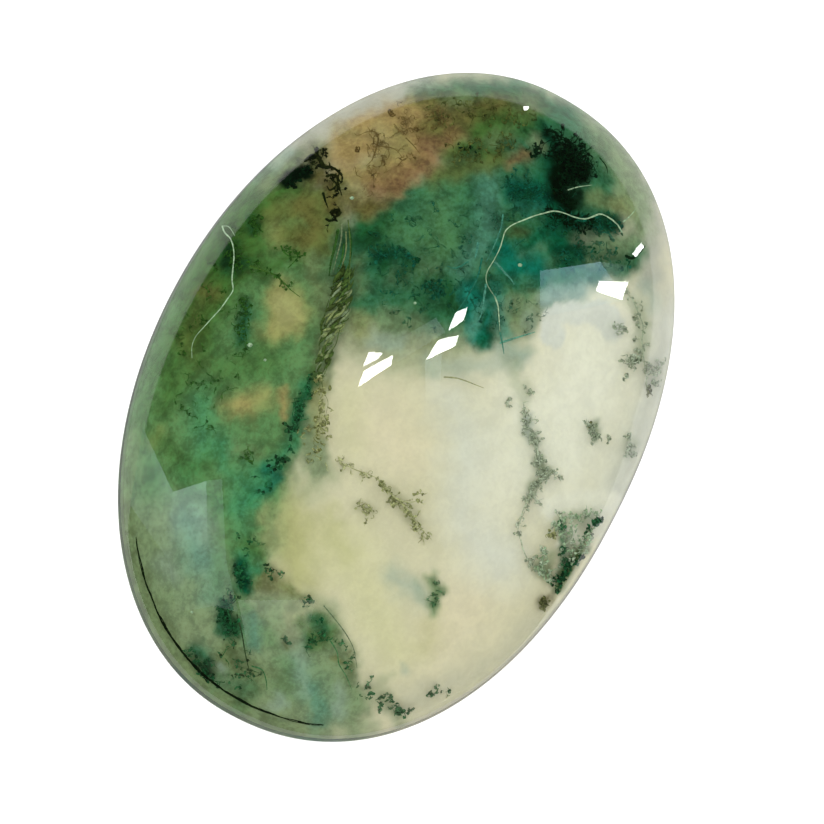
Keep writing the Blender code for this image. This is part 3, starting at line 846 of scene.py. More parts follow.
MOSSES = {
    "moss_rope_vein": Moss("brown_moss", "vein_moss", 0.25, growths=(
        (22, 9, 0.5, 0.45, 0.5, 1, 0.2, 0.6, 0.014, (344, 262, 7), (336, 314, 9), (324, 358, 7),
         (321, 376, 5)),
    ), strands=(
        (0.25, 0.018, (348, 220), (350, 240), (350, 262), (349, 284), (347, 304), (344, 318), (339, 332),
         (336, 344), (330, 354), (327, 368), (322, 380), (324, 392), (328, 402), (326, 414)),
        (0.4, 0.016, (332, 292), (327, 306), (322, 326), (320, 344), (318, 362), (319, 380)),
        (0.25, 0.05, (324, 318), (321, 326), (322, 334), (320, 342)),
        (0.22, 0.06, (325, 346), (323, 352), (326, 357)),
    )),
    "moss_black_knot": Moss("black_moss", "knot_moss", 0.03, growths=(
        (19, 12, 0.8, 0, 1.6, 1, 0.2, 0.5, 0.018, (312, 155, 4), (326, 168, 4), (340, 178, 4),
         (334, 190, 5)),
        (10, 9, 0.6, 0, 1.4, 1, 0.2, 0.5, 0.018, (332, 190, 4), (336, 213, 3), (330, 222, 3)),
        (9, 8, 0.7, 0, 1.6, 1, 0.2, 0.5, 0.016, (318, 150, 4), (326, 154, 4)),
    ), strands=(
        (0.3, 0.08, (305, 161), (311, 156), (317, 156), (320, 160), (324, 166), (331, 167), (338, 171),
         (342, 176), (342, 182)),
        (0.28, 0.1, (311, 155), (314, 158), (318, 156)),
        (0.34, 0.06, (318, 165), (325, 168), (333, 168), (339, 173)),
        (0.3, 0.06, (327, 176), (334, 175), (338, 179), (336, 186), (330, 190), (327, 186)),
        (0.34, 0.034, (330, 178), (335, 182), (340, 190), (342, 196)),
        (0.32, 0.045, (323, 193), (325, 200), (328, 208)),
        (0.3, 0.12, (332, 212), (336, 211), (339, 214), (335, 217)),
        (0.3, 0.05, (326, 219), (331, 221), (336, 219)),
        (0.26, 0.03, (323, 148), (323, 155), (319, 160)),
    )),
    "moss_wedge": Moss("black_moss", "ink_moss", 0.02, growths=(
        (14, 7, 0.3, 0, 0.6, 1, 0.2, 0.6, 0.026, (308, 164, 3), (300, 173, 5), (288, 185, 2)),
    )),
    "moss_wisps": Moss("sea_moss", "wisp", 0.3, strands=(
        (0.25, 0.034, (482, 258), (479, 272), (475, 283), (470, 292), (463, 303), (456, 313)),
        (0.2, 0.05, (495, 262), (500, 267), (505, 273), (510, 278), (514, 284)),
        (0.15, 0.05, (478, 243), (477, 250), (475, 258)),
        (0.25, 0.04, (486, 284), (484, 298), (482, 312), (477, 324)),
        (0.25, 0.04, (500, 343), (512, 339), (522, 336), (535, 332)),
        (0.2, 0.036, (500, 332), (502, 342), (504, 354)),
        (0.3, 0.03, (503, 214), (501, 228), (494, 246), (486, 262)),
        (0.3, 0.034, (468, 262), (456, 268), (447, 266)),
    )),
    "moss_rope_pale": Moss("dusk_moss", "ply_moss", 0.0, strands=(
        (0.5, 0.03, (342, 224), (341, 240), (337, 256), (333, 272)),
        (0.5, 0.026, (346, 232), (346, 250), (342, 266), (338, 282)),
    )),
    "moss_crown": Moss("bottle_moss", "sea_moss", 0.6, growths=(
        (91, 16, 0.6, 0, 1.8, 2, 0.3, 1.1, 0.016, (385, 262, 22), (440, 240, 40), (500, 230, 44),
         (560, 200, 30)),
        (59, 14, 0.6, 0, 1.8, 2, 0.3, 1.0, 0.016, (400, 290, 18), (450, 296, 24), (505, 300, 26),
         (530, 318, 10)),
        (24, 11, 0.6, 0, 1.4, 2, 0.1, 0.5, 0.024, (370, 262, 5), (392, 252, 6), (412, 264, 5)),
        (21, 12, 0.6, 0, 1.6, 2, 0.1, 0.6, 0.022, (424, 284, 7), (446, 298, 9)),
        (8, 10, 0.4, 0, 0.6, 1, 0.2, 0.7, 0.02, (470, 290, 6), (480, 318, 8), (482, 338, 5)),
        (38, 11, 0.6, 0, 0.9, 2, 0.1, 0.5, 0.026, (552, 226, 8), (610, 224, 6), (620, 234, 5)),
        (42, 12, 0.6, 0, 1.2, 2, 0.1, 0.6, 0.022, (552, 264, 8), (600, 246, 10), (622, 264, 10)),
        (31, 12, 0.6, 0, 1.6, 2, 0.1, 0.6, 0.022, (504, 190, 8), (530, 186, 12), (548, 204, 8)),
    )),
    "moss_crown_shoulder": Moss("black_moss", "ink_moss", 0.1, growths=(
        (108, 16, 0.5, 0, 1.8, 2, 0.1, 0.8, 0.026, (560, 140, 5), (571, 156, 9), (578, 170, 8),
         (560, 190, 8)),
        (40, 12, 0.6, 0, 0.9, 2, 0.1, 0.6, 0.02, (544, 127, 3), (562, 140, 4), (586, 158, 4),
         (592, 172, 3)),
        (14, 9, 0.6, 0, 0.6, 1, 0.1, 0.4, 0.022, (530, 142, 3), (538, 152, 3), (550, 152, 3)),
        (9, 7, 0.8, 0, 1.6, 1, 0.3, 0.7, 0.016, (456, 148, 4), (478, 148, 5)),
        (34, 13, 0.5, 0, 0.6, 2, 0.1, 0.5, 0.02, (545, 214, 5), (590, 222, 5)),
    ), strands=(
        (0.2, 0.06, (626, 256), (632, 258), (640, 252), (645, 246)),
        (0.2, 0.03, (600, 158), (606, 166), (608, 174)),
    )),
    "moss_olive_brow": Moss("brown_moss", "olive_moss", 0.5, growths=(
        (52, 13, 0.6, 0, 1.2, 2, 0.2, 0.9, 0.018, (428, 112, 8), (480, 108, 10), (530, 118, 8)),
        (42, 12, 0.6, 0, 1.8, 2, 0.2, 0.9, 0.018, (446, 158, 10), (480, 150, 12), (512, 140, 10)),
        (14, 5, 0.7, 0, 1.6, 1, 0.1, 0.5, 0.03, (541, 606, 3), (548, 602, 3)),
        (5, 4, 0.6, 0, 1.6, 1, 0.1, 0.4, 0.02, (590, 422, 1), (591, 424, 1)),
        (6, 5, 0.5, 0, 0.6, 1, 0.1, 0.4, 0.022, (647, 386, 1), (649, 392, 1)),
    )),
    "moss_left_flank": Moss("pine_moss", "sprig_moss", 0.4, growths=(
        (60, 12, 0.5, 0, 1.6, 2, 0.3, 1.0, 0.018, (238, 230, 12), (226, 268, 16), (208, 300, 14),
         (190, 350, 14)),
        (24, 11, 0.5, 0, 1.2, 2, 0.15, 0.7, 0.02, (243, 302, 5), (243, 338, 7)),
        (44, 13, 0.5, 0, 1.8, 2, 0.5, 1.1, 0.014, (238, 372, 22), (180, 390, 20), (200, 440, 26)),
        (20, 9, 0.6, 0, 1.2, 2, 0.1, 0.5, 0.022, (250, 214, 5), (256, 230, 4)),
        (24, 10, 0.6, 0, 1.2, 2, 0.1, 0.5, 0.022, (230, 246, 6), (236, 268, 6)),
        (11, 8, 0.6, 0, 0.8, 2, 0.1, 0.4, 0.018, (280, 246, 3), (288, 256, 3), (302, 255, 3)),
        (14, 8, 0.5, 0, 1.0, 2, 0.1, 0.4, 0.018, (252, 266, 3), (276, 277, 3), (292, 290, 3)),
        (8, 10, 0.5, 0, 0.8, 1, 0.3, 0.7, 0.018, (240, 446, 4), (252, 458, 4)),
    ), strands=(
        (0.22, 0.034, (250, 266), (262, 270), (276, 276), (285, 284), (291, 290), (300, 297)),
        (0.22, 0.032, (281, 246), (284, 252), (292, 257), (306, 255)),
        (0.25, 0.022, (288, 268), (294, 262), (300, 256)),
        (0.35, 0.05, (338, 230), (335, 246), (331, 262), (329, 276)),
        (0.3, 0.044, (349, 228), (351, 244), (350, 260), (347, 276)),
        (0.35, 0.036, (344, 244), (342, 258), (337, 272)),
    )),
    "moss_green_column": Moss("black_moss", "green_moss", 0.45, growths=(
        (36, 10, 0.5, 0, 0.8, 2, 0.1, 0.6, 0.022, (311, 376, 3), (302, 396, 4), (293, 432, 4)),
        (22, 9, 0.6, 0, 1.4, 2, 0.1, 0.6, 0.022, (286, 454, 3), (274, 468, 7), (266, 482, 6), (256, 492, 4)),
        (10, 9, 0.6, 0, 1.6, 2, 0.2, 0.8, 0.018, (246, 536, 8), (252, 552, 8)),
        (20, 8, 0.7, 0, 1.6, 2, 0.1, 0.6, 0.024, (238, 566, 5), (244, 588, 5)),
        (9, 8, 0.5, 0, 0.8, 1, 0.1, 0.4, 0.018, (262, 566, 3), (272, 572, 3), (282, 578, 2)),
        (44, 11, 0.6, 0, 1.4, 2, 0.15, 0.7, 0.02, (229, 596, 4), (224, 614, 6), (232, 636, 8)),
        (28, 11, 0.6, 0, 1.6, 2, 0.2, 0.8, 0.016, (228, 650, 8), (250, 668, 10), (232, 682, 8)),
        (32, 10, 0.6, 0, 1.0, 2, 0.15, 0.6, 0.022, (192, 650, 5), (206, 668, 6), (214, 684, 4)),
    ), strands=(
        (0.3, 0.026, (237, 614), (242, 634), (245, 652), (249, 670), (252, 682)),
        (0.3, 0.026, (252, 666), (262, 670), (266, 680), (267, 690)),
        (0.25, 0.034, (226, 600), (228, 612), (232, 622)),
    )),
    "moss_olive_dendrite": Moss("olive_moss", "straw_moss", 0.35, growths=(
        (18, 8, 0.5, 0, 1.0, 1, 0.4, 0.9, 0.015, (334, 458, 2), (352, 468, 2), (374, 480, 3)),
        (46, 8, 0.9, 0, 1.5, 2, 0.1, 0.7, 0.018, (378, 480, 2), (392, 496, 4), (408, 508, 6),
         (416, 524, 4)),
        (12, 8, 0.6, 0, 0.8, 1, 0.2, 0.8, 0.016, (416, 526, 3), (426, 540, 3)),
        (20, 8, 0.7, 0, 2.0, 1, 0.3, 0.8, 0.016, (362, 506, 5), (374, 514, 5)),
        (5, 6, 0.6, 0, 1.0, 1, 0.1, 0.4, 0.02, (418, 490, 2), (420, 500, 2)),
        (44, 8, 0.8, 0.5, 0.5, 1, 0.05, 0.3, 0.026, (321, 376, 5), (323, 404, 5), (320, 432, 5),
         (322, 462, 4)),
        (14, 9, 0.7, 0, 1.6, 1, 0.3, 0.7, 0.016, (306, 425, 8), (312, 448, 9), (322, 468, 6)),
        (9, 5, 0.7, 0, 1.6, 1, 0.05, 0.3, 0.026, (549, 531, 2), (551, 536, 2)),
    ), strands=(
        (0.5, 0.026, (444, 377), (456, 378), (466, 381), (476, 385), (484, 388)),
        (0.25, 0.024, (378, 479), (386, 488), (394, 497), (406, 502), (421, 501)),
        (0.6, 0.018, (344, 464), (356, 470), (368, 474), (379, 479)),
        (0.3, 0.022, (398, 500), (408, 510), (414, 520), (424, 532), (432, 540)),
    )),
    "moss_right_chain": Moss("ash_moss", "grey_moss", 0.3, growths=(
        (40, 8, 0.6, 0, 1.8, 1, 0.5, 0.9, 0.018, (522, 410, 2), (528, 420, 5), (531, 436, 5), (537, 448, 2)),
        (56, 9, 0.9, 0, 1.4, 2, 0.3, 0.8, 0.02, (537, 450, 1), (540, 466, 4), (545, 474, 5), (535, 488, 6),
         (532, 498, 3)),
        (7, 7, 0.5, 0, 0.8, 1, 0.2, 0.6, 0.022, (550, 470, 2), (557, 478, 2)),
        (6, 6, 0.5, 0, 1.5, 1, 0.5, 0.9, 0.022, (524, 386, 2), (530, 390, 2)),
        (4, 5, 0.5, 0, 1.5, 1, 0.5, 0.9, 0.022, (506, 402, 1), (510, 405, 1)),
        (19, 7, 0.6, 0, 1.0, 1, 0.3, 0.8, 0.018, (530, 492, 4), (526, 506, 2), (520, 520, 2), (520, 540, 2)),
        (8, 7, 0.6, 0, 1.0, 1, 0.3, 0.8, 0.018, (526, 560, 2), (532, 566, 3)),
    ), strands=(
        (0.4, 0.026, (528, 500), (524, 508), (521, 518), (518, 530), (521, 542)),
        (0.4, 0.024, (521, 540), (523, 549), (527, 558), (533, 567), (538, 572)),
        (0.35, 0.026, (536, 446), (539, 456), (540, 466)),
    )),
    "moss_right_edge": Moss("dusk_moss", "grey_moss", 0.4, growths=(
        (22, 7, 0.6, 0, 1.6, 2, 0.1, 0.6, 0.02, (588, 422, 2), (594, 430, 4), (596, 440, 2)),
        (4, 4, 0.5, 0, 1.5, 1, 0.2, 0.6, 0.02, (607, 437, 1), (610, 440, 1)),
        (20, 6, 0.6, 0, 1.8, 2, 0.1, 0.6, 0.018, (627, 436, 3), (632, 446, 4), (630, 457, 3)),
        (30, 8, 0.6, 0, 1.0, 2, 0.1, 0.7, 0.02, (630, 290, 4), (638, 310, 5), (640, 336, 6), (643, 362, 5),
         (647, 382, 3)),
        (13, 7, 0.6, 0, 1.6, 1, 0.1, 0.6, 0.02, (618, 324, 3), (622, 332, 3)),
        (22, 7, 0.6, 0, 1.6, 2, 0.1, 0.6, 0.022, (630, 358, 3), (637, 366, 5)),
        (10, 7, 0.5, 0, 1.2, 1, 0.1, 0.5, 0.022, (652, 374, 2), (660, 366, 3)),
        (9, 7, 0.5, 0, 0.6, 1, 0.1, 0.5, 0.024, (652, 378, 2), (661, 386, 2)),
        (4, 4, 0.5, 0, 1.5, 1, 0.1, 0.5, 0.022, (622, 378, 1), (627, 378, 1)),
    ), strands=(
        (0.3, 0.024, (632, 298), (638, 312), (643, 326), (642, 342), (644, 360), (646, 376), (648, 392)),
    )),
    "moss_lower_clump": Moss("lace_moss", "grey_moss", 0.35, growths=(
        (34, 9, 0.9, 0, 1.8, 2, 0.05, 0.5, 0.022, (552, 526, 2), (562, 518, 3), (576, 514, 4),
         (596, 513, 5)),
        (28, 9, 0.9, 0, 1.6, 2, 0.05, 0.6, 0.022, (546, 550, 4), (540, 566, 6), (548, 582, 5)),
        (26, 10, 0.9, 0, 1.8, 2, 0.05, 0.6, 0.022, (562, 530, 5), (574, 536, 8), (570, 552, 8),
         (560, 566, 7)),
        (16, 9, 0.6, 0, 1.0, 2, 0.05, 0.4, 0.022, (590, 530, 4), (585, 544, 4), (578, 554, 3)),
    ), strands=(
        (0.3, 0.03, (548, 534), (554, 526), (564, 518), (576, 515)),
        (0.2, 0.034, (586, 540), (592, 530), (602, 522)),
    )),
    "moss_dark_spine": Moss("black_moss", "green_moss", 0.15, growths=(
        (12, 4, 0.5, 0, 0.6, 1, 0.05, 0.3, 0.034, (592, 525, 1), (601, 521, 1)),
        (8, 6, 0.4, 0, 0.3, 1, 0.1, 0.4, 0.018, (584, 540, 1), (592, 528, 1)),
        (42, 7, 0.7, 0, 1.0, 2, 0.05, 0.5, 0.026, (580, 556, 2), (571, 566, 3), (563, 576, 3),
         (556, 590, 4)),
    )),
    "moss_foot": Moss("bottle_moss", "green_moss", 0.5, growths=(
        (20, 9, 0.6, 0, 1.8, 2, 0.2, 0.9, 0.018, (316, 616, 6), (326, 634, 7), (306, 644, 6)),
        (9, 8, 0.6, 0, 1.0, 2, 0.2, 0.8, 0.018, (336, 634, 3), (346, 652, 3), (352, 676, 3)),
        (6, 7, 0.5, 0, 1.2, 1, 0.1, 0.5, 0.022, (306, 598, 2), (310, 606, 2)),
        (30, 8, 0.8, 0, 1.6, 2, 0.2, 0.8, 0.02, (376, 694, 7), (396, 708, 7)),
        (14, 7, 0.5, 0, 1.4, 1, 0.1, 0.4, 0.026, (398, 710, 3), (406, 716, 3)),
        (20, 7, 0.6, 0, 1.6, 1, 0.2, 0.7, 0.018, (424, 698, 3), (434, 690, 3), (452, 694, 3)),
        (32, 8, 0.6, 0, 1.8, 1, 0.5, 1.0, 0.018, (434, 574, 5), (441, 590, 5), (432, 608, 5)),
        (8, 6, 0.5, 0, 0.6, 1, 0.1, 0.4, 0.024, (561, 520, 2), (562, 530, 2)),
        (10, 7, 0.7, 0, 1.2, 1, 0.1, 0.5, 0.02, (563, 542, 3), (564, 556, 3), (562, 568, 3)),
        (4, 5, 0.5, 0, 1.0, 1, 0.1, 0.4, 0.026, (286, 638, 1), (284, 644, 1)),
        (9, 8, 0.8, 0, 1.6, 1, 0.3, 0.8, 0.016, (372, 676, 5), (360, 700, 6)),
    ), strands=(
        (0.4, 0.022, (324, 606), (334, 618), (346, 634), (354, 650), (357, 668)),
        (0.35, 0.022, (330, 640), (337, 652), (339, 664), (346, 676), (352, 690)),
    )),
    "iron_threads": Moss("iron", "amber_iron", 0.45, growths=(
        (42, 13, 0.8, 0, 2.0, 2, 0.2, 0.7, 0.015, (372, 128, 6), (380, 150, 9), (378, 166, 12),
         (366, 186, 10)),
        (30, 13, 0.8, 0, 2.0, 2, 0.2, 0.7, 0.015, (400, 112, 8), (410, 130, 12), (412, 160, 12)),
        (20, 11, 0.7, 0, 1.6, 1, 0.2, 0.8, 0.017, (432, 112, 8), (446, 132, 8)),
        (8, 5, 0.8, 0, 2.0, 1, 0.05, 0.3, 0.03, (386, 108, 2), (391, 112, 2)),
        (5, 4, 0.8, 0, 2.0, 0, 0.05, 0.3, 0.028, (357, 148, 1), (359, 150, 1)),
        (6, 4, 0.8, 0, 2.0, 0, 0.05, 0.3, 0.028, (415, 128, 2), (418, 131, 2)),
    ), strands=(
        (0.3, 0.03, (372, 131), (377, 134), (378, 142), (375, 152), (372, 160), (366, 166)),
        (0.35, 0.024, (378, 146), (388, 147), (396, 150), (402, 157)),
        (0.35, 0.026, (394, 124), (402, 132), (410, 128), (418, 131), (426, 126)),
        (0.35, 0.022, (406, 138), (414, 146), (420, 154)),
    )),
}

# Two healed hairlines, a few loose specks and a scratch by the upper one, all close under the polish
HAIRLINES = (
    (0.06, 0.027, (622, 232), (617, 224), (608, 217), (600, 214), (592, 217), (584, 219), (574, 217),
     (564, 213), (554, 211), (545, 213), (534, 216), (524, 220), (514, 224), (506, 230), (503, 238),
     (500, 248), (494, 260), (489, 268), (486, 276), (487, 284), (491, 291), (495, 297)),
    (0.1, 0.026, (495, 297), (498, 306), (499, 318), (500, 332)),
    (0.08, 0.022, (623, 222), (630, 216), (636, 209)),
    (0.06, 0.027, (222, 226), (225, 233), (230, 238), (233, 246), (234, 256), (233, 268), (232, 280),
     (233, 290), (228, 298), (221, 308), (212, 318), (203, 328), (196, 336), (192, 346), (192, 358)),
    (0.12, 0.022, (568, 190), (578, 187), (592, 185)),
    (0.06, 0.02, (222, 226), (229, 227), (235, 236)),
)
# Each speck's place in pixels and radius in millimetres
SPECKS = (
    (250, 345, 0.085), (265, 360, 0.05), (520, 265, 0.07), (352, 198, 0.07), (415, 303, 0.05),
    (192, 612, 0.05),
)

# The dark seam just inside the upper edge of the girdle, between these turns round the outline
SEAM_TURNS = (math.radians(135.8), math.radians(199.5))
SEAM_THREADS = 5
SEAM_STEPS = 160
SEAM_INSET = 0.30 * MM
SEAM_DEPTH = 0.07 * MM
SEAM_RADIUS = 0.032
# Ranges of each thread's inset, depth and radius as shares; its waves' height, and their number a radian
SEAM_INSETS = (0.92, 1.08)
SEAM_DEPTHS = (0.8, 1.6)
SEAM_WIDTHS = (0.5, 1.2)
SEAM_WAVE = 0.015 * MM
SEAM_WAVES = (20, 60)
SEAM_VEIL = 0.2

# The lane's steps; for the strokes their steps, the braid's depth and roundness in mm, and the ranges of
# their length, place across the lane, lean over it, rise and radius as shares
ROPE_STEPS = 140
ROPE_STROKE_STEPS = 10
ROPE_DEPTH = 0.45
ROPE_ROUND = 0.18
ROPE_LENGTHS = (0.35, 1.1)
ROPE_PLACES = (-0.8, 0.8)
ROPE_LEANS = (0.15, 0.5)
ROPE_RISES = (0.4, 1.4)
ROPE_WIDTHS = (0.4, 1.5)
ROPE_END = 0.2

SPECK_STEPS = 7
SPECK_DEPTH = 0.10
SPECK_END = 0.95
MOSS_SEED = 400
MARK_SEED = 480

# A thread's heading drifts as a whole and trembles at each step, by these shares of its curl, and it sinks or
# rises by this normal share. Trunks start off the lane's middle by a normal share of its half width.
DRIFTING = 0.9
TREMBLING = 0.6
SINKING = 0.22
LANE_SPREAD = 0.55
# Ranges of reach and width as shares; a branch's turn off its trunk in radians, and its reach and width as
# shares of its trunk's
REACHES = (0.5, 1.3)
WIDTHS = (0.6, 1.3)
BRANCH_TURNS = (0.4, 1.2)
BRANCH_REACH = 0.5
BRANCH_WIDTH = 0.85

# Leaflets for each trunk, fewer where the threads are bare; their reach in pixels, their curl, and their
# width as a share of their thread's
LEAFLETS = 1.8
BARE = {"iron_threads": 0.3, "moss_olive_dendrite": 1.2}
LEAFLET_REACH = 3.0
LEAFLET_CURL = 0.5
LEAFLET_WIDTH = 2.9

THREAD_STEPS = 6
STRAND_STEPS = 48
THREAD_SIDES = 3
STRAND_SIDES = 8
# How much thinner a thread's far end is, and how uneven its radius
TAPER = 0.7
UNEVEN = (0.7, 1.3)
# A direction that no thread follows
ASKEW = (0.31, 0.17, 0.93)
# A thread is kept when it stays within this share of the outline, and this high over the base. Its least
# depth is in millimetres.
MOST_SHARE = 0.986
LEAST_HEIGHT = 0.4 * MM
LEAST_DEPTH = 0.05


def walk(start, heading, reach, curl, rng):
    """Paths of places (across, down, depth): every step turns from the last by a drift and a tremble."""
    count = len(start)
    drift = rng.normal(0, DRIFTING * curl, (count, 1))
    turn = drift + rng.normal(0, TREMBLING * curl, (count, THREAD_STEPS))
    course = heading[:, None] + np.cumsum(turn, axis=1)
    stride = reach[:, None] / THREAD_STEPS
    sink = rng.normal(0, SINKING, (count, 1)) * stride / PIXELS_A_MM
    steps = np.stack(
        [np.cos(course) * stride, np.sin(course) * stride, np.broadcast_to(sink, course.shape)], axis=-1
    )
    return np.concatenate([start[:, None], start[:, None] + np.cumsum(steps, axis=1)], axis=1)


def along_lane(lane, count, rng):
    """Random places along a lane, off its middle by a normal share of its half width, and its heading."""
    lane = np.array(lane, float)
    legs = np.hypot(np.diff(lane[:, 0]), np.diff(lane[:, 1]))
    far = np.concatenate([[0], np.cumsum(legs)])
    at = rng.uniform(0, far[-1], count)
    u, v, half = (np.interp(at, far, lane[:, column]) for column in range(3))
    leg = np.clip(np.searchsorted(far, at) - 1, 0, len(legs) - 1)
    heading = np.arctan2(np.diff(lane[:, 1])[leg], np.diff(lane[:, 0])[leg])
    off = rng.normal(0, LANE_SPREAD, (2, count)) * half
    return u + off[0], v + off[1], heading


def grow(growth, share, leaflets, rng):
    """All threads of a growth: trunks that walk from the lane, branches from those, and leaflets."""
    count, reach, curl, slant, stray, forks, shallow, deep, radius, *lane = growth
    count = max(1, round(count * share))
    u, v, heading = along_lane(lane, count, rng)
    depth = rng.uniform(shallow, deep, count)
    heading = heading + slant + rng.normal(0, stray, count)
    trunks = walk(np.stack([u, v, depth], axis=1), heading, reach * rng.uniform(*REACHES, count), curl, rng)
    widths = radius * rng.uniform(*WIDTHS, count)
    parent = np.repeat(np.arange(count), forks)
    step = rng.integers(1, THREAD_STEPS, len(parent))
    start = trunks[parent, step]
    ahead = trunks[parent, step + 1] - start
    side = rng.choice((-1, 1), len(parent)) * rng.uniform(*BRANCH_TURNS, len(parent))
    heading = np.arctan2(ahead[:, 1], ahead[:, 0]) + side
    branches = walk(start, heading, reach * BRANCH_REACH * rng.uniform(*REACHES, len(parent)), curl, rng)
    threads = np.concatenate([trunks, branches])
    widths = np.concatenate([widths, widths[parent] * BRANCH_WIDTH])
    leaflet = rng.integers(0, len(threads), round(leaflets * count))
    start = threads[leaflet, rng.integers(2, THREAD_STEPS + 1, len(leaflet))]
    heading = rng.uniform(0, 2 * math.pi, len(leaflet))
    beads = walk(start, heading, LEAFLET_REACH * rng.uniform(*REACHES, len(leaflet)), LEAFLET_CURL, rng)
    return np.concatenate([threads, beads]), np.concatenate([widths, widths[leaflet] * LEAFLET_WIDTH])


def smooth_path(points, steps):
    """Points evenly along a smooth curve through the given ones.

    Between each two it is a cubic whose slope at each point is that between the point's neighbours.
    """
    points = np.array(points, float)
    padded = np.concatenate([2 * points[:1] - points[1:2], points, 2 * points[-1:] - points[-2:-1]])
    at = np.linspace(0, len(points) - 1 - 1e-9, steps)
    leg = at.astype(int)
    t = (at - leg)[:, None]
    before, start, end, after = (padded[leg + shift] for shift in range(4))
    return 0.5 * (
        2 * start
        + (end - before) * t
        + (2 * before - 5 * start + 4 * end - after) * t**2
        + (3 * start - before - 3 * end + after) * t**3
    )


def tubes(paths, radii, sides):
    """Closed threads: a ring of points carried along every path at once, and a point at each end."""
    count, steps = radii.shape
    tangent = np.gradient(paths, axis=1)
    tangent = tangent / np.maximum(np.linalg.norm(tangent, axis=-1, keepdims=True), 1e-12)
    side = np.cross(tangent, ASKEW)
    side = side / np.maximum(np.linalg.norm(side, axis=-1, keepdims=True), 1e-12)
    other = np.cross(tangent, side)
    turn = np.linspace(0, 2 * math.pi, sides, endpoint=False)[:, None]
    ring = np.cos(turn) * side[:, :, None] - np.sin(turn) * other[:, :, None]
    rings = paths[:, :, None] + radii[:, :, None, None] * ring
    tips = paths[:, :1] - tangent[:, :1] * radii[:, :1, None]
    feet = paths[:, -1:] + tangent[:, -1:] * radii[:, -1:, None]
    points = np.concatenate([rings.reshape(count, -1, 3), tips, feet], axis=1)
    faces = ring_faces(steps, sides, steps * sides, steps * sides + 1)
    offsets = np.arange(count)[:, None, None] * points.shape[1]
    return points.reshape(-1, 3), (faces + offsets).reshape(-1, 3)


def buried(paths):
    """The paths in the stone of places (across, down, depth in mm), and which of them stay well inside it."""
    paths = paths.copy()
    paths[..., 2] = np.maximum(paths[..., 2], LEAST_DEPTH)
    points = under_dome(paths[..., 0], paths[..., 1], paths[..., 2] * MM)
    surface, _, _ = on_dome(paths[..., 0], paths[..., 1])
    share = np.maximum(
        superellipse_share(POLISHED, points[..., 0], points[..., 1]),
        superellipse_share(POLISHED, surface[..., 0], surface[..., 1]),
    )
    inside = (share.max(axis=1) < MOST_SHARE) & (points[..., 2].min(axis=1) > LEAST_HEIGHT)
    return paths, points, inside


def tapered(widths, steps, rng):
    """Radii along threads of these widths: thinner to the far end, and a little uneven."""
    taper = 1 - TAPER * np.linspace(0, 1, steps) ** 2
    return widths[:, None] * taper * rng.uniform(*UNEVEN, (len(widths), steps))


def thread_parts(paths, radii, sides, tints, rng):
    """Points, faces and the three attributes of a set of threads that all have the same number of steps."""
    paths, points, inside = buried(paths)
    paths, points, radii = paths[inside], points[inside], radii[inside]
    skin, faces = tubes(points, radii * MM, sides)
    each = len(skin) // max(len(paths), 1)
    middle = paths[:, paths.shape[1] // 2]
    milk = cloud_colour(middle[:, 0], middle[:, 1], tints)
    veil = np.clip(middle[:, 2] / (CLEAR_TOP / MM), 0, 1)
    shade = rng.random(len(paths))
    return skin, faces, np.repeat(shade, each), np.repeat(veil, each), np.repeat(milk, each, axis=0)


def put_threads(name, parts, material):
    """Makes one piece of several sets of threads, each set's face numbers moved past the points before it."""
    counts = [len(part[0]) for part in parts]
    firsts = np.cumsum([0] + counts[:-1])
    faces = np.concatenate([part[1] + first for part, first in zip(parts, firsts)])
    points, shade, veil, milk = (np.concatenate([part[column] for part in parts]) for column in (0, 2, 3, 4))
    return put_mesh(name, points, faces, material, shade=shade, veil=veil, milk=milk)


def growth_parts(growth, leaflets, settings, tints, rng):
    """The parts of one growth, with the user's own share of threads and of their thickness."""
    paths, widths = grow(growth, settings.thread_share, leaflets, rng)
    radii = tapered(widths * settings.thread_width, THREAD_STEPS + 1, rng)
    return thread_parts(paths, radii, THREAD_SIDES, tints, rng)


def strand_parts(strands, settings, tints, rng):
    """The parts of single strands, each a smooth curve through its own points."""
    depth, widths = np.array([strand[:2] for strand in strands]).T
    paths = np.stack([smooth_path(strand[2:], STRAND_STEPS) for strand in strands])
    depth = np.broadcast_to(depth[:, None, None], paths.shape[:2] + (1,))
    radii = tapered(widths * settings.thread_width, STRAND_STEPS, rng)
    return thread_parts(np.concatenate([paths, depth], axis=-1), radii, STRAND_SIDES, tints, rng)


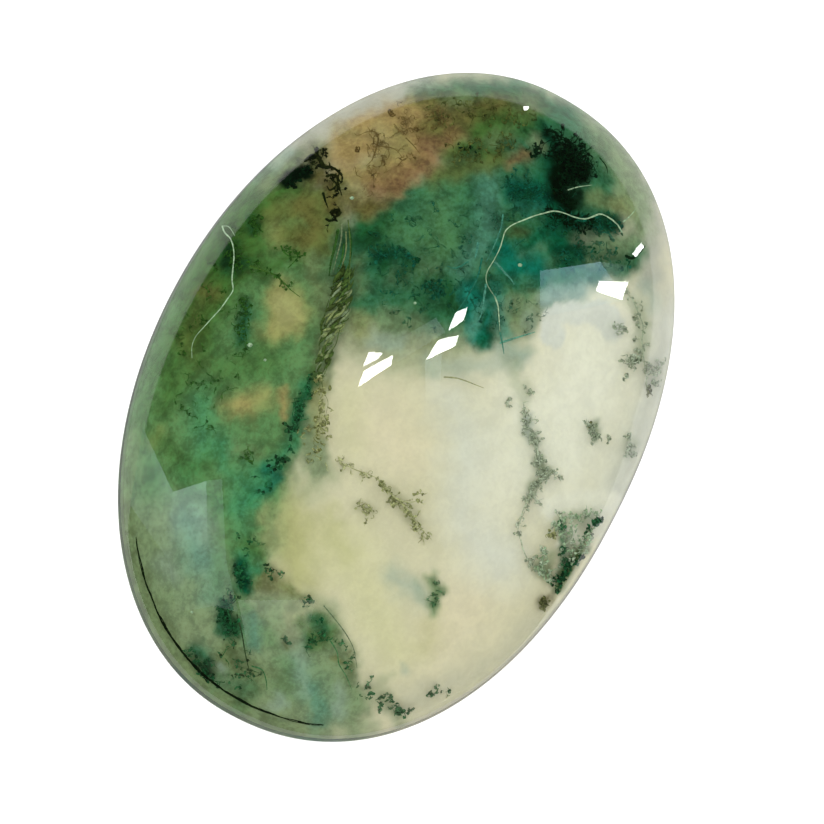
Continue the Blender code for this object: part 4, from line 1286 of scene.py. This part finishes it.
def rope_parts(strokes, begin, radius, settings, tints, rng):
    """The vein's braid: bowed strokes strewn over its lane, each thickest in its middle.

    A stroke's place across the lane goes to the left by an eased share, while its place along the lane
    runs on from its start by up to ROPE_STROKE pixels.
    """
    lane = smooth_path(ROPE_LANE, ROPE_STEPS)
    far = np.concatenate([[0], np.cumsum(np.hypot(np.diff(lane[:, 0]), np.diff(lane[:, 1])))])
    heading = np.arctan2(np.gradient(lane[:, 1]), np.gradient(lane[:, 0]))
    share = np.linspace(0, 1, ROPE_STROKE_STEPS)
    start = rng.uniform(begin * far[-1], far[-1] - 0.5 * ROPE_STROKE, (strokes, 1))
    at = start + ROPE_STROKE * share * rng.uniform(*ROPE_LENGTHS, start.shape)
    u, v, half, course = (np.interp(at, far, column) for column in (*lane.T, heading))
    middle = rng.uniform(*ROPE_PLACES, start.shape)
    side = half * (middle + (2 * eased(share) - 1) * rng.uniform(*ROPE_LEANS, start.shape))
    depth = ROPE_DEPTH - ROPE_ROUND * np.sin(math.pi * share) * rng.uniform(*ROPE_RISES, start.shape)
    paths = np.stack([u - side * np.sin(course), v + side * np.cos(course), depth], axis=-1)
    radii = radius * rng.uniform(*ROPE_WIDTHS, start.shape) * (ROPE_END + np.sin(math.pi * share))
    return thread_parts(paths, radii * settings.thread_width, STRAND_SIDES, tints, rng)


def speck_parts(tints, rng):
    """Round specks: short threads whose radius follows a half circle from end to end."""
    specks = np.array(SPECKS)
    reach = np.linspace(-SPECK_END, SPECK_END, SPECK_STEPS)
    across = specks[:, :1] + specks[:, 2:] * PIXELS_A_MM * reach
    down = np.broadcast_to(specks[:, 1:2], across.shape)
    depth = np.full(across.shape, SPECK_DEPTH)
    radii = specks[:, 2:] * np.sqrt(1 - reach**2)
    return thread_parts(np.stack([across, down, depth], axis=-1), radii, STRAND_SIDES, tints, rng)


def seam_parts(tints, rng):
    """Dark threads that run round the stone just inside the upper edge of its girdle, in shallow waves."""
    each = (SEAM_THREADS, 1)
    turn = np.linspace(*SEAM_TURNS, SEAM_STEPS)[None, :] + np.zeros(each)
    inset = SEAM_INSET * rng.uniform(*SEAM_INSETS, each)
    inset = inset + SEAM_WAVE * np.sin(turn * rng.uniform(*SEAM_WAVES, each))
    x, y = outline(POLISHED, turn, GIRDLE_LEAN + inset)
    height = dome_height(POLISHED, x, y) - SEAM_DEPTH * rng.uniform(*SEAM_DEPTHS, each)
    ends = np.sin(np.linspace(0, math.pi, SEAM_STEPS)) ** 0.3
    radii = SEAM_RADIUS * rng.uniform(*SEAM_WIDTHS, (SEAM_THREADS, SEAM_STEPS)) * ends
    skin, faces = tubes(np.stack([x, y, height], axis=-1), radii * MM, THREAD_SIDES)
    u, v = picture_point(skin)
    return skin, faces, np.zeros(len(skin)), np.full(len(skin), SEAM_VEIL), cloud_colour(u, v, tints)


def milk_mesh(settings, tints):
    """The milky body: a smaller cabochon whose dome swells and dips, with the clouds' colours above it."""
    form = milky_form(settings)
    points, faces = cabochon_mesh(form)
    x, y, z = points[:, 0].copy(), points[:, 1].copy(), points[:, 2].copy()
    swell = sum(share * (2 * soft_noise(x, y, size * MM, seed) - 1) for share, size, seed in SWELLS)
    rising = eased((z - form.foot) / (form.girdle - form.foot))
    points = points + (settings.cloud_relief * swell * rising)[:, None] * dome_normal(form, x, y)
    top = np.stack([x, y, dome_height(form, x, y)], axis=-1)
    u, v = seen_at(top)
    drop = (top[:, 2] - z) / MM
    turn = np.arctan2(y, x) * DRIFT_ROUND
    across, down = (2 * soft_noise(turn, z / MM, DRIFT_SIZE, seed) - 1 for seed in DRIFT_SEEDS)
    u, v = u + DRIFT * drop * across, v + DRIFT * drop * down
    return points, faces, cloud_colour(u, v, tints)


def add_node(tree, kind, inputs=None, **settings):
    """Adds a shader node with its own settings, and gives each named input a value or a link."""
    node = tree.nodes.new("ShaderNode" + kind)
    for title, value in settings.items():
        setattr(node, title, value)
    for title, value in (inputs or {}).items():
        if isinstance(value, bpy.types.NodeSocket):
            tree.links.new(value, node.inputs[title])
        else:
            node.inputs[title].default_value = value
    return node


def new_group(name, inputs, outputs):
    """An empty node group with these named inputs and outputs, and the nodes that hold them."""
    group = bpy.data.node_groups.new(name, "ShaderNodeTree")
    for way, sockets in (("INPUT", inputs), ("OUTPUT", outputs)):
        for title, kind, default in sockets:
            socket = group.interface.new_socket(name=title, in_out=way, socket_type=kind)
            if default is not None:
                socket.default_value = default
    return group, group.nodes.new("NodeGroupInput").outputs, group.nodes.new("NodeGroupOutput").inputs


def mixed(tree, share, low, high):
    """The colour between two colours at a share."""
    return add_node(tree, "Mix", {0: share, 6: low, 7: high}, data_type="RGBA").outputs[2]


def blended(tree, share, first, second):
    """The shader between two shaders at a share."""
    return add_node(tree, "MixShader", {0: share, 1: first, 2: second}).outputs[0]


def ranged(tree, value, low, high, to_low=0.0, to_high=1.0):
    """A value carried smoothly from one range to another."""
    ends = {"Value": value, "From Min": low, "From Max": high, "To Min": to_low, "To Max": to_high}
    return add_node(tree, "MapRange", ends, interpolation_type="SMOOTHSTEP").outputs[0]


def reckoned(tree, operation, *values):
    """The result of a Math node."""
    return add_node(tree, "Math", dict(enumerate(values)), operation=operation).outputs[0]


def grain_group():
    """Mineral grain: two layers of noise darken and lighten a colour and turn its hue, and raise a height."""
    group, given, made = new_group(
        "Mineral grain",
        (
            ("Colour", "NodeSocketColor", (0.5, 0.5, 0.5, 1)),
            ("Scale", "NodeSocketFloat", MILK_GRAIN),
            ("Strength", "NodeSocketFloat", 0.5),
        ),
        (("Colour", "NodeSocketColor", None), ("Height", "NodeSocketFloat", None)),
    )
    place = add_node(group, "TexCoord").outputs["Object"]
    fine_scale = reckoned(group, "MULTIPLY", given["Scale"], FINE_GRAIN)
    coarse, fine = (
        add_node(
            group,
            "TexNoise",
            {"Vector": place, "Scale": scale, "Detail": detail, "Roughness": 0.62, "Distortion": distortion},
        ).outputs["Fac"]
        for scale, detail, distortion in ((given["Scale"], 6.0, 0.35), (fine_scale, 4.0, 0.2))
    )
    coarse_part = reckoned(group, "MULTIPLY", coarse, COARSE_SHARE)
    both = reckoned(group, "ADD", coarse_part, reckoned(group, "MULTIPLY", fine, 1 - COARSE_SHARE))
    spread = ranged(group, both, *GRAIN_RANGE, -1.0, 1.0)
    value = reckoned(group, "ADD", 1.0, reckoned(group, "MULTIPLY", spread, given["Strength"]))
    lean = reckoned(group, "MULTIPLY", reckoned(group, "SUBTRACT", fine, 0.5), given["Strength"])
    hue = reckoned(group, "ADD", 0.5, reckoned(group, "MULTIPLY", lean, HUE_TURN))
    turned = add_node(group, "HueSaturation", {"Hue": hue, "Value": value, "Color": given["Colour"]})
    group.links.new(turned.outputs["Color"], made["Colour"])
    group.links.new(both, made["Height"])
    return group


def thread_group():
    """Thread colour: from deep to light by each thread's own shade, then into the milk as it lies deeper."""
    group, given, made = new_group(
        "Thread colour",
        (
            ("Deep", "NodeSocketColor", (0, 0, 0, 1)),
            ("Light", "NodeSocketColor", (0.1, 0.2, 0.1, 1)),
            ("Veiled", "NodeSocketFloat", 0.3),
        ),
        (("Colour", "NodeSocketColor", None),),
    )
    shade, veil, milk = (
        add_node(group, "Attribute", attribute_name=title) for title in ("shade", "veil", "milk")
    )
    body = mixed(group, shade.outputs["Fac"], given["Deep"], given["Light"])
    share = reckoned(group, "MULTIPLY", veil.outputs["Fac"], given["Veiled"])
    group.links.new(mixed(group, share, body, milk.outputs["Color"]), made["Colour"])
    return group


def shared_group(name, make):
    """The node group of this name, made the first time it is asked for."""
    return bpy.data.node_groups.get(name) or make()


def new_material(name):
    """A material with only its output node, and its node tree."""
    material = bpy.data.materials.new(name)
    material.use_nodes = True
    material.node_tree.nodes.clear()
    return material, material.node_tree, add_node(material.node_tree, "OutputMaterial")


def opaque(color):
    """A colour of three numbers with a full fourth one, as sockets want it."""
    return tuple(color) + (1.0,)


def grained(tree, colour, scale, strength, depth):
    """A colour with mineral grain, and the normals of its bumps, this deep."""
    given = {"Colour": colour, "Scale": scale, "Strength": strength}
    made = add_node(tree, "Group", given, node_tree=shared_group("Mineral grain", grain_group)).outputs
    bump = add_node(tree, "Bump", {"Height": made["Height"], "Distance": depth, "Strength": 0.6})
    return made["Colour"], bump.outputs["Normal"]


def polish_material(settings):
    """Clear chalcedony. Lamps and scattered light pass straight through its surface, and sight is bent."""
    material, tree, output = new_material("polished_chalcedony")
    place = add_node(tree, "TexCoord").outputs["Object"]
    wear = {"Vector": place, "Scale": WEAR_SCALE, "Detail": 6.0, "Roughness": 0.6}
    noise = add_node(tree, "TexNoise", wear)
    worn = (share * settings.polish_roughness for share in WEAR_ROUGHNESS)
    glass = add_node(
        tree,
        "BsdfPrincipled",
        {
            "Base Color": (1, 1, 1, 1),
            "Roughness": ranged(tree, noise.outputs["Fac"], *WEAR_RANGE, *worn),
            "IOR": STONE_INDEX,
            "Transmission Weight": 1.0,
        },
    )
    ways = add_node(tree, "LightPath").outputs
    clear = add_node(tree, "BsdfTransparent").outputs[0]
    shader = glass.outputs[0]
    for way in ("Is Shadow Ray", "Is Diffuse Ray"):
        shader = blended(tree, ways[way], shader, clear)
    tree.links.new(shader, output.inputs["Surface"])
    depths = {"Color": opaque(settings.clear_tint), "Density": settings.clear_density}
    tint = add_node(tree, "VolumeAbsorption", depths)
    tree.links.new(tint.outputs[0], output.inputs["Volume"])
    return material


def milk_material():
    """Milky chalcedony: its clouds are mottled by grain, the more so the darker and greener they are."""
    material, tree, output = new_material("milky_chalcedony")
    wash = add_node(tree, "Attribute", attribute_name="wash").outputs["Color"]
    light = add_node(tree, "RGBToBW", {"Color": wash}).outputs[0]
    strength = ranged(tree, light, *MOTTLED_LIGHT, *MILK_MOTTLING)
    colour, normal = grained(tree, wash, MILK_GRAIN, strength, MILK_BUMP)
    stone = add_node(
        tree,
        "BsdfPrincipled",
        {
            "Base Color": colour,
            "Roughness": MATT,
            "Specular IOR Level": 0.0,
            "Subsurface Weight": MILK_SCATTER,
            "Subsurface Radius": (1.0, 0.9, 0.6),
            "Subsurface Scale": MILK_SCATTER_DEPTH,
            "Normal": normal,
        },
    )
    tree.links.new(stone.outputs[0], output.inputs["Surface"])
    return material


def thread_material(name, deep, light, veiled):
    """Moss, iron or a hairline: each thread has its own shade, with grain along it."""
    material, tree, output = new_material(name)
    given = {"Deep": opaque(deep), "Light": opaque(light), "Veiled": veiled}
    made = add_node(tree, "Group", given, node_tree=shared_group("Thread colour", thread_group)).outputs
    colour, normal = grained(tree, made["Colour"], THREAD_GRAIN, THREAD_MOTTLING, THREAD_BUMP)
    skin = {"Base Color": colour, "Roughness": MATT, "Specular IOR Level": 0.0, "Normal": normal}
    shader = add_node(tree, "BsdfPrincipled", skin)
    tree.links.new(shader.outputs[0], output.inputs["Surface"])
    return material


def floor_material():
    """White paper: faintly mottled, and a little self-lit, so that the stone hardly shades it."""
    material, tree, output = new_material("white_paper")
    colour, normal = grained(tree, opaque([PAPER_WHITE] * 3), PAPER_GRAIN, PAPER_MOTTLING, PAPER_BUMP)
    paper = add_node(
        tree,
        "BsdfPrincipled",
        {
            "Base Color": colour,
            "Roughness": 0.9,
            "Specular IOR Level": 0.0,
            "Emission Color": colour,
            "Emission Strength": FLOOR_GLOW,
            "Normal": normal,
        },
    )
    tree.links.new(paper.outputs[0], output.inputs["Surface"])
    return material


def facing(place, toward, across):
    """The matrix of a thing at a place whose own -Z looks toward a point and whose X lies near across."""
    back = Vector(place) - Vector(toward)
    back.normalize()
    side = Vector(across)
    side = (side - back * side.dot(back)).normalized()
    up = back.cross(side)
    return Matrix.Translation(Vector(place)) @ Matrix((side, up, back)).transposed().to_4x4()


def add_lamp(name, matrix, size, radiance):
    """A soft square lamp that lights the stone, and that neither the camera nor the polish shows."""
    lamp = bpy.data.lights.new(name, "AREA")
    lamp.shape = "SQUARE"
    lamp.size = size
    lamp.energy = 4 * radiance * size**2
    item = put_object(name, lamp)
    item.matrix_world = matrix
    item.visible_camera = False
    item.visible_transmission = False
    item.visible_glossy = False


def mirrored_places(u, v, far):
    """The points this far out that show mirrored in the polish at points of the picture."""
    point, ray, normal = on_dome(u, v)
    out = ray - 2 * np.sum(ray * normal, axis=-1, keepdims=True) * normal
    return point + out * far


def card_parts(number, corners, radiance, colour):
    """A card's points, faces and glow: a grid drawn out between its corners in the picture, then thrown out.

    Each card hangs a little further out than the one before it, so that it is hidden where they cross.
    """
    first = number * (CARD_STEPS + 1) ** 2
    way = np.linspace(0, 1, CARD_STEPS + 1)
    along, down = (part.ravel()[:, None] for part in np.meshgrid(way, way))
    shares = np.hstack([(1 - along) * (1 - down), along * (1 - down), along * down, (1 - along) * down])
    u, v = (shares @ np.array(corners, float)).T
    glow = (shares @ np.array(radiance, float))[:, None] * np.array(colour)
    across = CARD_STEPS + 1
    corner = (np.arange(CARD_STEPS)[:, None] * across + np.arange(CARD_STEPS)).ravel() + first
    upper = np.stack([corner, corner + 1, corner + across], axis=1)
    lower = np.stack([corner + 1, corner + across + 1, corner + across], axis=1)
    far = CARD_DISTANCE * (1 + CARD_GAP * number)
    return mirrored_places(u, v, far), np.concatenate([upper, lower]), glow


def glow_material():
    """Light of the cards: each point's own radiance."""
    material, tree, output = new_material("card_glow")
    glow = add_node(tree, "Attribute", attribute_name="glow").outputs["Color"]
    light = add_node(tree, "Emission", {"Color": glow, "Strength": 1.0})
    tree.links.new(light.outputs[0], output.inputs["Surface"])
    return material


def add_cards():
    """All cards as one piece that lights nothing and hides nothing, and that only the polish mirrors."""
    parts = [card_parts(number, *card) for number, card in enumerate(CARDS)]
    points, faces, glow = (np.concatenate([part[column] for part in parts]) for column in range(3))
    cards = put_mesh("mirrored_cards", points, faces, glow_material(), glow=glow)
    for way in ("camera", "diffuse", "transmission", "volume_scatter", "shadow"):
        setattr(cards, f"visible_{way}", False)
    return cards


def add_camera():
    """The camera of the photograph, with no blur."""
    camera = bpy.data.cameras.new("photograph")
    camera.sensor_width = SENSOR
    camera.lens = LENS
    camera.clip_start = 0.01
    camera.clip_end = 10.0
    item = put_object("photograph", camera)
    turned = Matrix((Vector(RIGHT), Vector(UP), Vector(BACK))).transposed().to_4x4()
    item.matrix_world = Matrix.Translation(Vector(EYE)) @ turned
    bpy.context.scene.camera = item


def set_world():
    """A pale room that lights the stone from all sides. The polish mirrors it only dimly, over a pale table.

    The table's edge lies under the horizon by a dip that grows with the square of the direction's y part, and
    more towards the stone's right and towards the camera.
    """
    world = bpy.data.worlds.new("studio")
    world.use_nodes = True
    tree = world.node_tree
    tree.nodes.clear()
    room, mirror, table, shaded, backdrop = (
        add_node(tree, "Background", {"Color": (tone, tone, tone, 1), "Strength": 1.0}).outputs[0]
        for tone in (ROOM_TONE, MIRROR_TONE, TABLE_TONE, SHADED_TONE, BACKDROP_TONE)
    )
    way = add_node(tree, "TexCoord").outputs["Generated"]
    parts = add_node(tree, "SeparateXYZ", {"Vector": way}).outputs
    square = reckoned(tree, "POWER", reckoned(tree, "ABSOLUTE", parts["Y"]), 2.0)
    sides = reckoned(tree, "MULTIPLY", square, TABLE_DIP)
    ahead = reckoned(tree, "MAXIMUM", reckoned(tree, "SUBTRACT", RIGHT_FROM, parts["X"]), 0.0)
    right = reckoned(tree, "MULTIPLY", ahead, RIGHT_DIP)
    right = reckoned(tree, "MULTIPLY", right, ranged(tree, parts["Y"], *RIGHT_BAND))
    near = reckoned(tree, "MULTIPLY", reckoned(tree, "SUBTRACT", CAMERA_FROM, parts["X"]), CAMERA_DIP)
    dip = reckoned(tree, "ADD", sides, reckoned(tree, "MAXIMUM", right, near))
    below = ranged(tree, reckoned(tree, "ADD", parts["Z"], dip), *EDGE_BAND)
    table = blended(tree, ranged(tree, parts["Z"], *SHADED_BAND), table, shaded)
    mirror = blended(tree, below, mirror, table)
    ways = add_node(tree, "LightPath").outputs
    mirrored = blended(tree, ways["Is Glossy Ray"], room, mirror)
    seen = blended(tree, ways["Is Camera Ray"], mirrored, backdrop)
    add_node(tree, "OutputWorld", {"Surface": seen})
    bpy.context.scene.world = world


def keep(piece):
    """Lets a piece ride with the stone."""
    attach(piece, STONE_BODY)
    return piece


def length_setting(name, description, default, low, high):
    """A length in the stone that the user can change."""
    return FloatProperty(
        name=name, description=description, default=default, min=low, max=high, unit="LENGTH", precision=5
    )


def share_setting(name, description, default, low, high):
    """A share that the user can change."""
    return FloatProperty(
        name=name, description=description, default=default, min=low, max=high, subtype="FACTOR"
    )


def colour_setting(name, description, default):
    """A colour that the user can change."""
    return FloatVectorProperty(
        name=name, description=description, default=default, subtype="COLOR", size=3, min=0.0, max=1.0
    )


def colour_pickers(tints):
    """A colour picker for each named tint, for a property group."""
    return {
        name: colour_setting(name.replace("_", " ").capitalize(), words.capitalize(), colour)
        for name, (colour, words) in tints.items()
    }


def picked(group, tints):
    """The user's colours, by name."""
    return {name: tuple(getattr(group, name)) for name in tints}


def choices(context):
    """The user's settings, cloud colours and moss colours."""
    settings = context.scene.moss_agate
    return settings, picked(settings.clouds, TINTS), picked(settings.moss, MOSS_TINTS)


class CloudTints(PropertyGroup):
    """Colours of the clouds in the milk."""

    __annotations__ = colour_pickers(TINTS)


class MossTints(PropertyGroup):
    """Colours of the moss, the iron threads and the hairlines."""

    __annotations__ = colour_pickers(MOSS_TINTS)


class StoneSettings(PropertyGroup):
    """Sizes inside the stone, and its clearness and polish."""

    clear_top: length_setting(
        "Clear on top", "Depth of the clear stone over the milk at the apex", CLEAR_TOP, 0.4 * MM, 1.6 * MM
    )
    clear_side: length_setting(
        "Clear at the side", "Thickness of the clear stone round the girdle", CLEAR_SIDE, 0.25 * MM, 1.0 * MM
    )
    cloud_relief: length_setting(
        "Cloud relief", "How far the top of the milk swells and dips", CLOUD_RELIEF, 0.0, 0.2 * MM
    )
    thread_share: share_setting("Moss count", "Share of the moss threads to make", 1.0, 0.05, 1.2)
    thread_width: share_setting("Moss thickness", "Share of the threads' own thickness", 1.0, 0.4, 2.0)
    polish_roughness: share_setting("Roughness", "Mean roughness of the polished surface", 0.015, 0.0, 0.3)
    clear_tint: colour_setting("Clear tint", "Colour that the clear stone lets through", (0.82, 0.93, 0.80))
    clear_density: FloatProperty(
        name="Clear density",
        description="How strongly the clear stone tints what is seen through it, for each metre",
        default=120.0,
        min=0.0,
        max=2000.0,
    )
    clouds: PointerProperty(name="Cloud colours", type=CloudTints)
    moss: PointerProperty(name="Moss colours", type=MossTints)


class MOSSAGATE_OT_polish(Operator):
    """Make the clear polished surface of the stone"""

    bl_idname = "mossagate.polish"
    bl_label = "Polished surface"
    bl_options = {"REGISTER", "UNDO"}

    def execute(self, context):
        points, faces = cabochon_mesh(POLISHED)
        piece = put_mesh("polished_stone", points, faces, polish_material(context.scene.moss_agate))
        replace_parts(keep(piece), "stone")
        return {"FINISHED"}


class MOSSAGATE_OT_milk(Operator):
    """Make the milky body that carries the clouds"""

    bl_idname = "mossagate.milk"
    bl_label = "Milky body"
    bl_options = {"REGISTER", "UNDO"}

    def execute(self, context):
        settings, tints, _ = choices(context)
        points, faces, wash = milk_mesh(settings, tints)
        keep(put_mesh("milky_body", points, faces, milk_material(), wash=wash))
        return {"FINISHED"}


class MOSSAGATE_OT_moss(Operator):
    """Grow the moss, the rope vein and the iron threads in the clear stone"""

    bl_idname = "mossagate.moss"
    bl_label = "Moss"
    bl_options = {"REGISTER", "UNDO"}

    def execute(self, context):
        settings, tints, colours = choices(context)
        for number, (name, moss) in enumerate(MOSSES.items()):
            rng = np.random.default_rng(MOSS_SEED + number)
            leaflets = BARE.get(name, LEAFLETS)
            parts = [growth_parts(growth, leaflets, settings, tints, rng) for growth in moss.growths]
            if moss.strands:
                parts.append(strand_parts(moss.strands, settings, tints, rng))
            if name in ROPE_STROKES:
                parts.append(rope_parts(*ROPE_STROKES[name], settings, tints, rng))
            material = thread_material(name, colours[moss.deep], colours[moss.light], moss.veiled)
            keep(put_threads(name, parts, material))
        return {"FINISHED"}


class MOSSAGATE_OT_marks(Operator):
    """Lay the pale hairlines, the specks and the dark seam close under the polish"""

    bl_idname = "mossagate.marks"
    bl_label = "Hairlines and seam"
    bl_options = {"REGISTER", "UNDO"}

    def execute(self, context):
        settings, tints, colours = choices(context)
        rng = np.random.default_rng(MARK_SEED)
        parts = [strand_parts(HAIRLINES, settings, tints, rng), speck_parts(tints, rng)]
        pale = thread_material("hairlines", colours["hairline"], colours["hairline"], 0.2)
        keep(put_threads("hairlines", parts, pale))
        dark = thread_material("girdle_seam", colours["black_moss"], colours["knot_moss"], 0.05)
        keep(put_threads("girdle_seam", [seam_parts(tints, rng)], dark))
        return {"FINISHED"}


class MOSSAGATE_OT_stage(Operator):
    """Set the pale floor, the soft lamp, the mirrored cards, the room and the camera"""

    bl_idname = "mossagate.stage"
    bl_label = "Stage"
    bl_options = {"REGISTER", "UNDO"}

    def execute(self, context):
        corners = np.array([(-1, -1), (1, -1), (1, 1), (-1, 1)]) * FLOOR_SIZE / 2
        points = np.column_stack([corners, np.full(4, FLOOR_Z)])
        floor = put_mesh("floor", points, np.array([(0, 1, 2), (0, 2, 3)]), floor_material())
        floor.visible_glossy = False
        above = Vector(MIDDLE_OF_OUTLINE) + Vector(SOFT_LAMP_OFFSET)
        add_lamp("soft_overhead", facing(above, MIDDLE_OF_OUTLINE, RIGHT), SOFT_LAMP_SIZE, SOFT_LAMP_RADIANCE)
        add_cards()
        set_world()
        add_camera()
        context.scene.view_settings.view_transform = "Standard"
        return {"FINISHED"}


STEPS = (MOSSAGATE_OT_polish, MOSSAGATE_OT_milk, MOSSAGATE_OT_moss, MOSSAGATE_OT_marks, MOSSAGATE_OT_stage)


class MOSSAGATE_PT_panel(Panel):
    """The stone's steps and settings in the sidebar"""

    bl_label = "Moss agate"
    bl_idname = "MOSSAGATE_PT_panel"
    bl_space_type = "VIEW_3D"
    bl_region_type = "UI"
    bl_category = "Moss agate"

    def draw(self, context):
        settings = context.scene.moss_agate
        for step in STEPS:
            self.layout.operator(step.bl_idname)
        for name in StoneSettings.__annotations__:
            if name not in ("clouds", "moss"):
                self.layout.prop(settings, name)
        for group, tints in ((settings.clouds, TINTS), (settings.moss, MOSS_TINTS)):
            box = self.layout.box()
            for name in tints:
                box.prop(group, name)


CLASSES = (CloudTints, MossTints, StoneSettings, *STEPS, MOSSAGATE_PT_panel)


def register():
    """Adds the classes to Blender, and the settings to every scene."""
    for item in CLASSES:
        bpy.utils.register_class(item)
    bpy.types.Scene.moss_agate = PointerProperty(type=StoneSettings)


def unregister():
    """Takes the settings and the classes away again."""
    del bpy.types.Scene.moss_agate
    for item in reversed(CLASSES):
        bpy.utils.unregister_class(item)


def main():
    """Makes the whole scene in order."""
    register()
    bpy.ops.mossagate.polish()
    bpy.ops.mossagate.milk()
    bpy.ops.mossagate.moss()
    bpy.ops.mossagate.marks()
    bpy.ops.mossagate.stage()


if __name__ == "__main__":
    main()
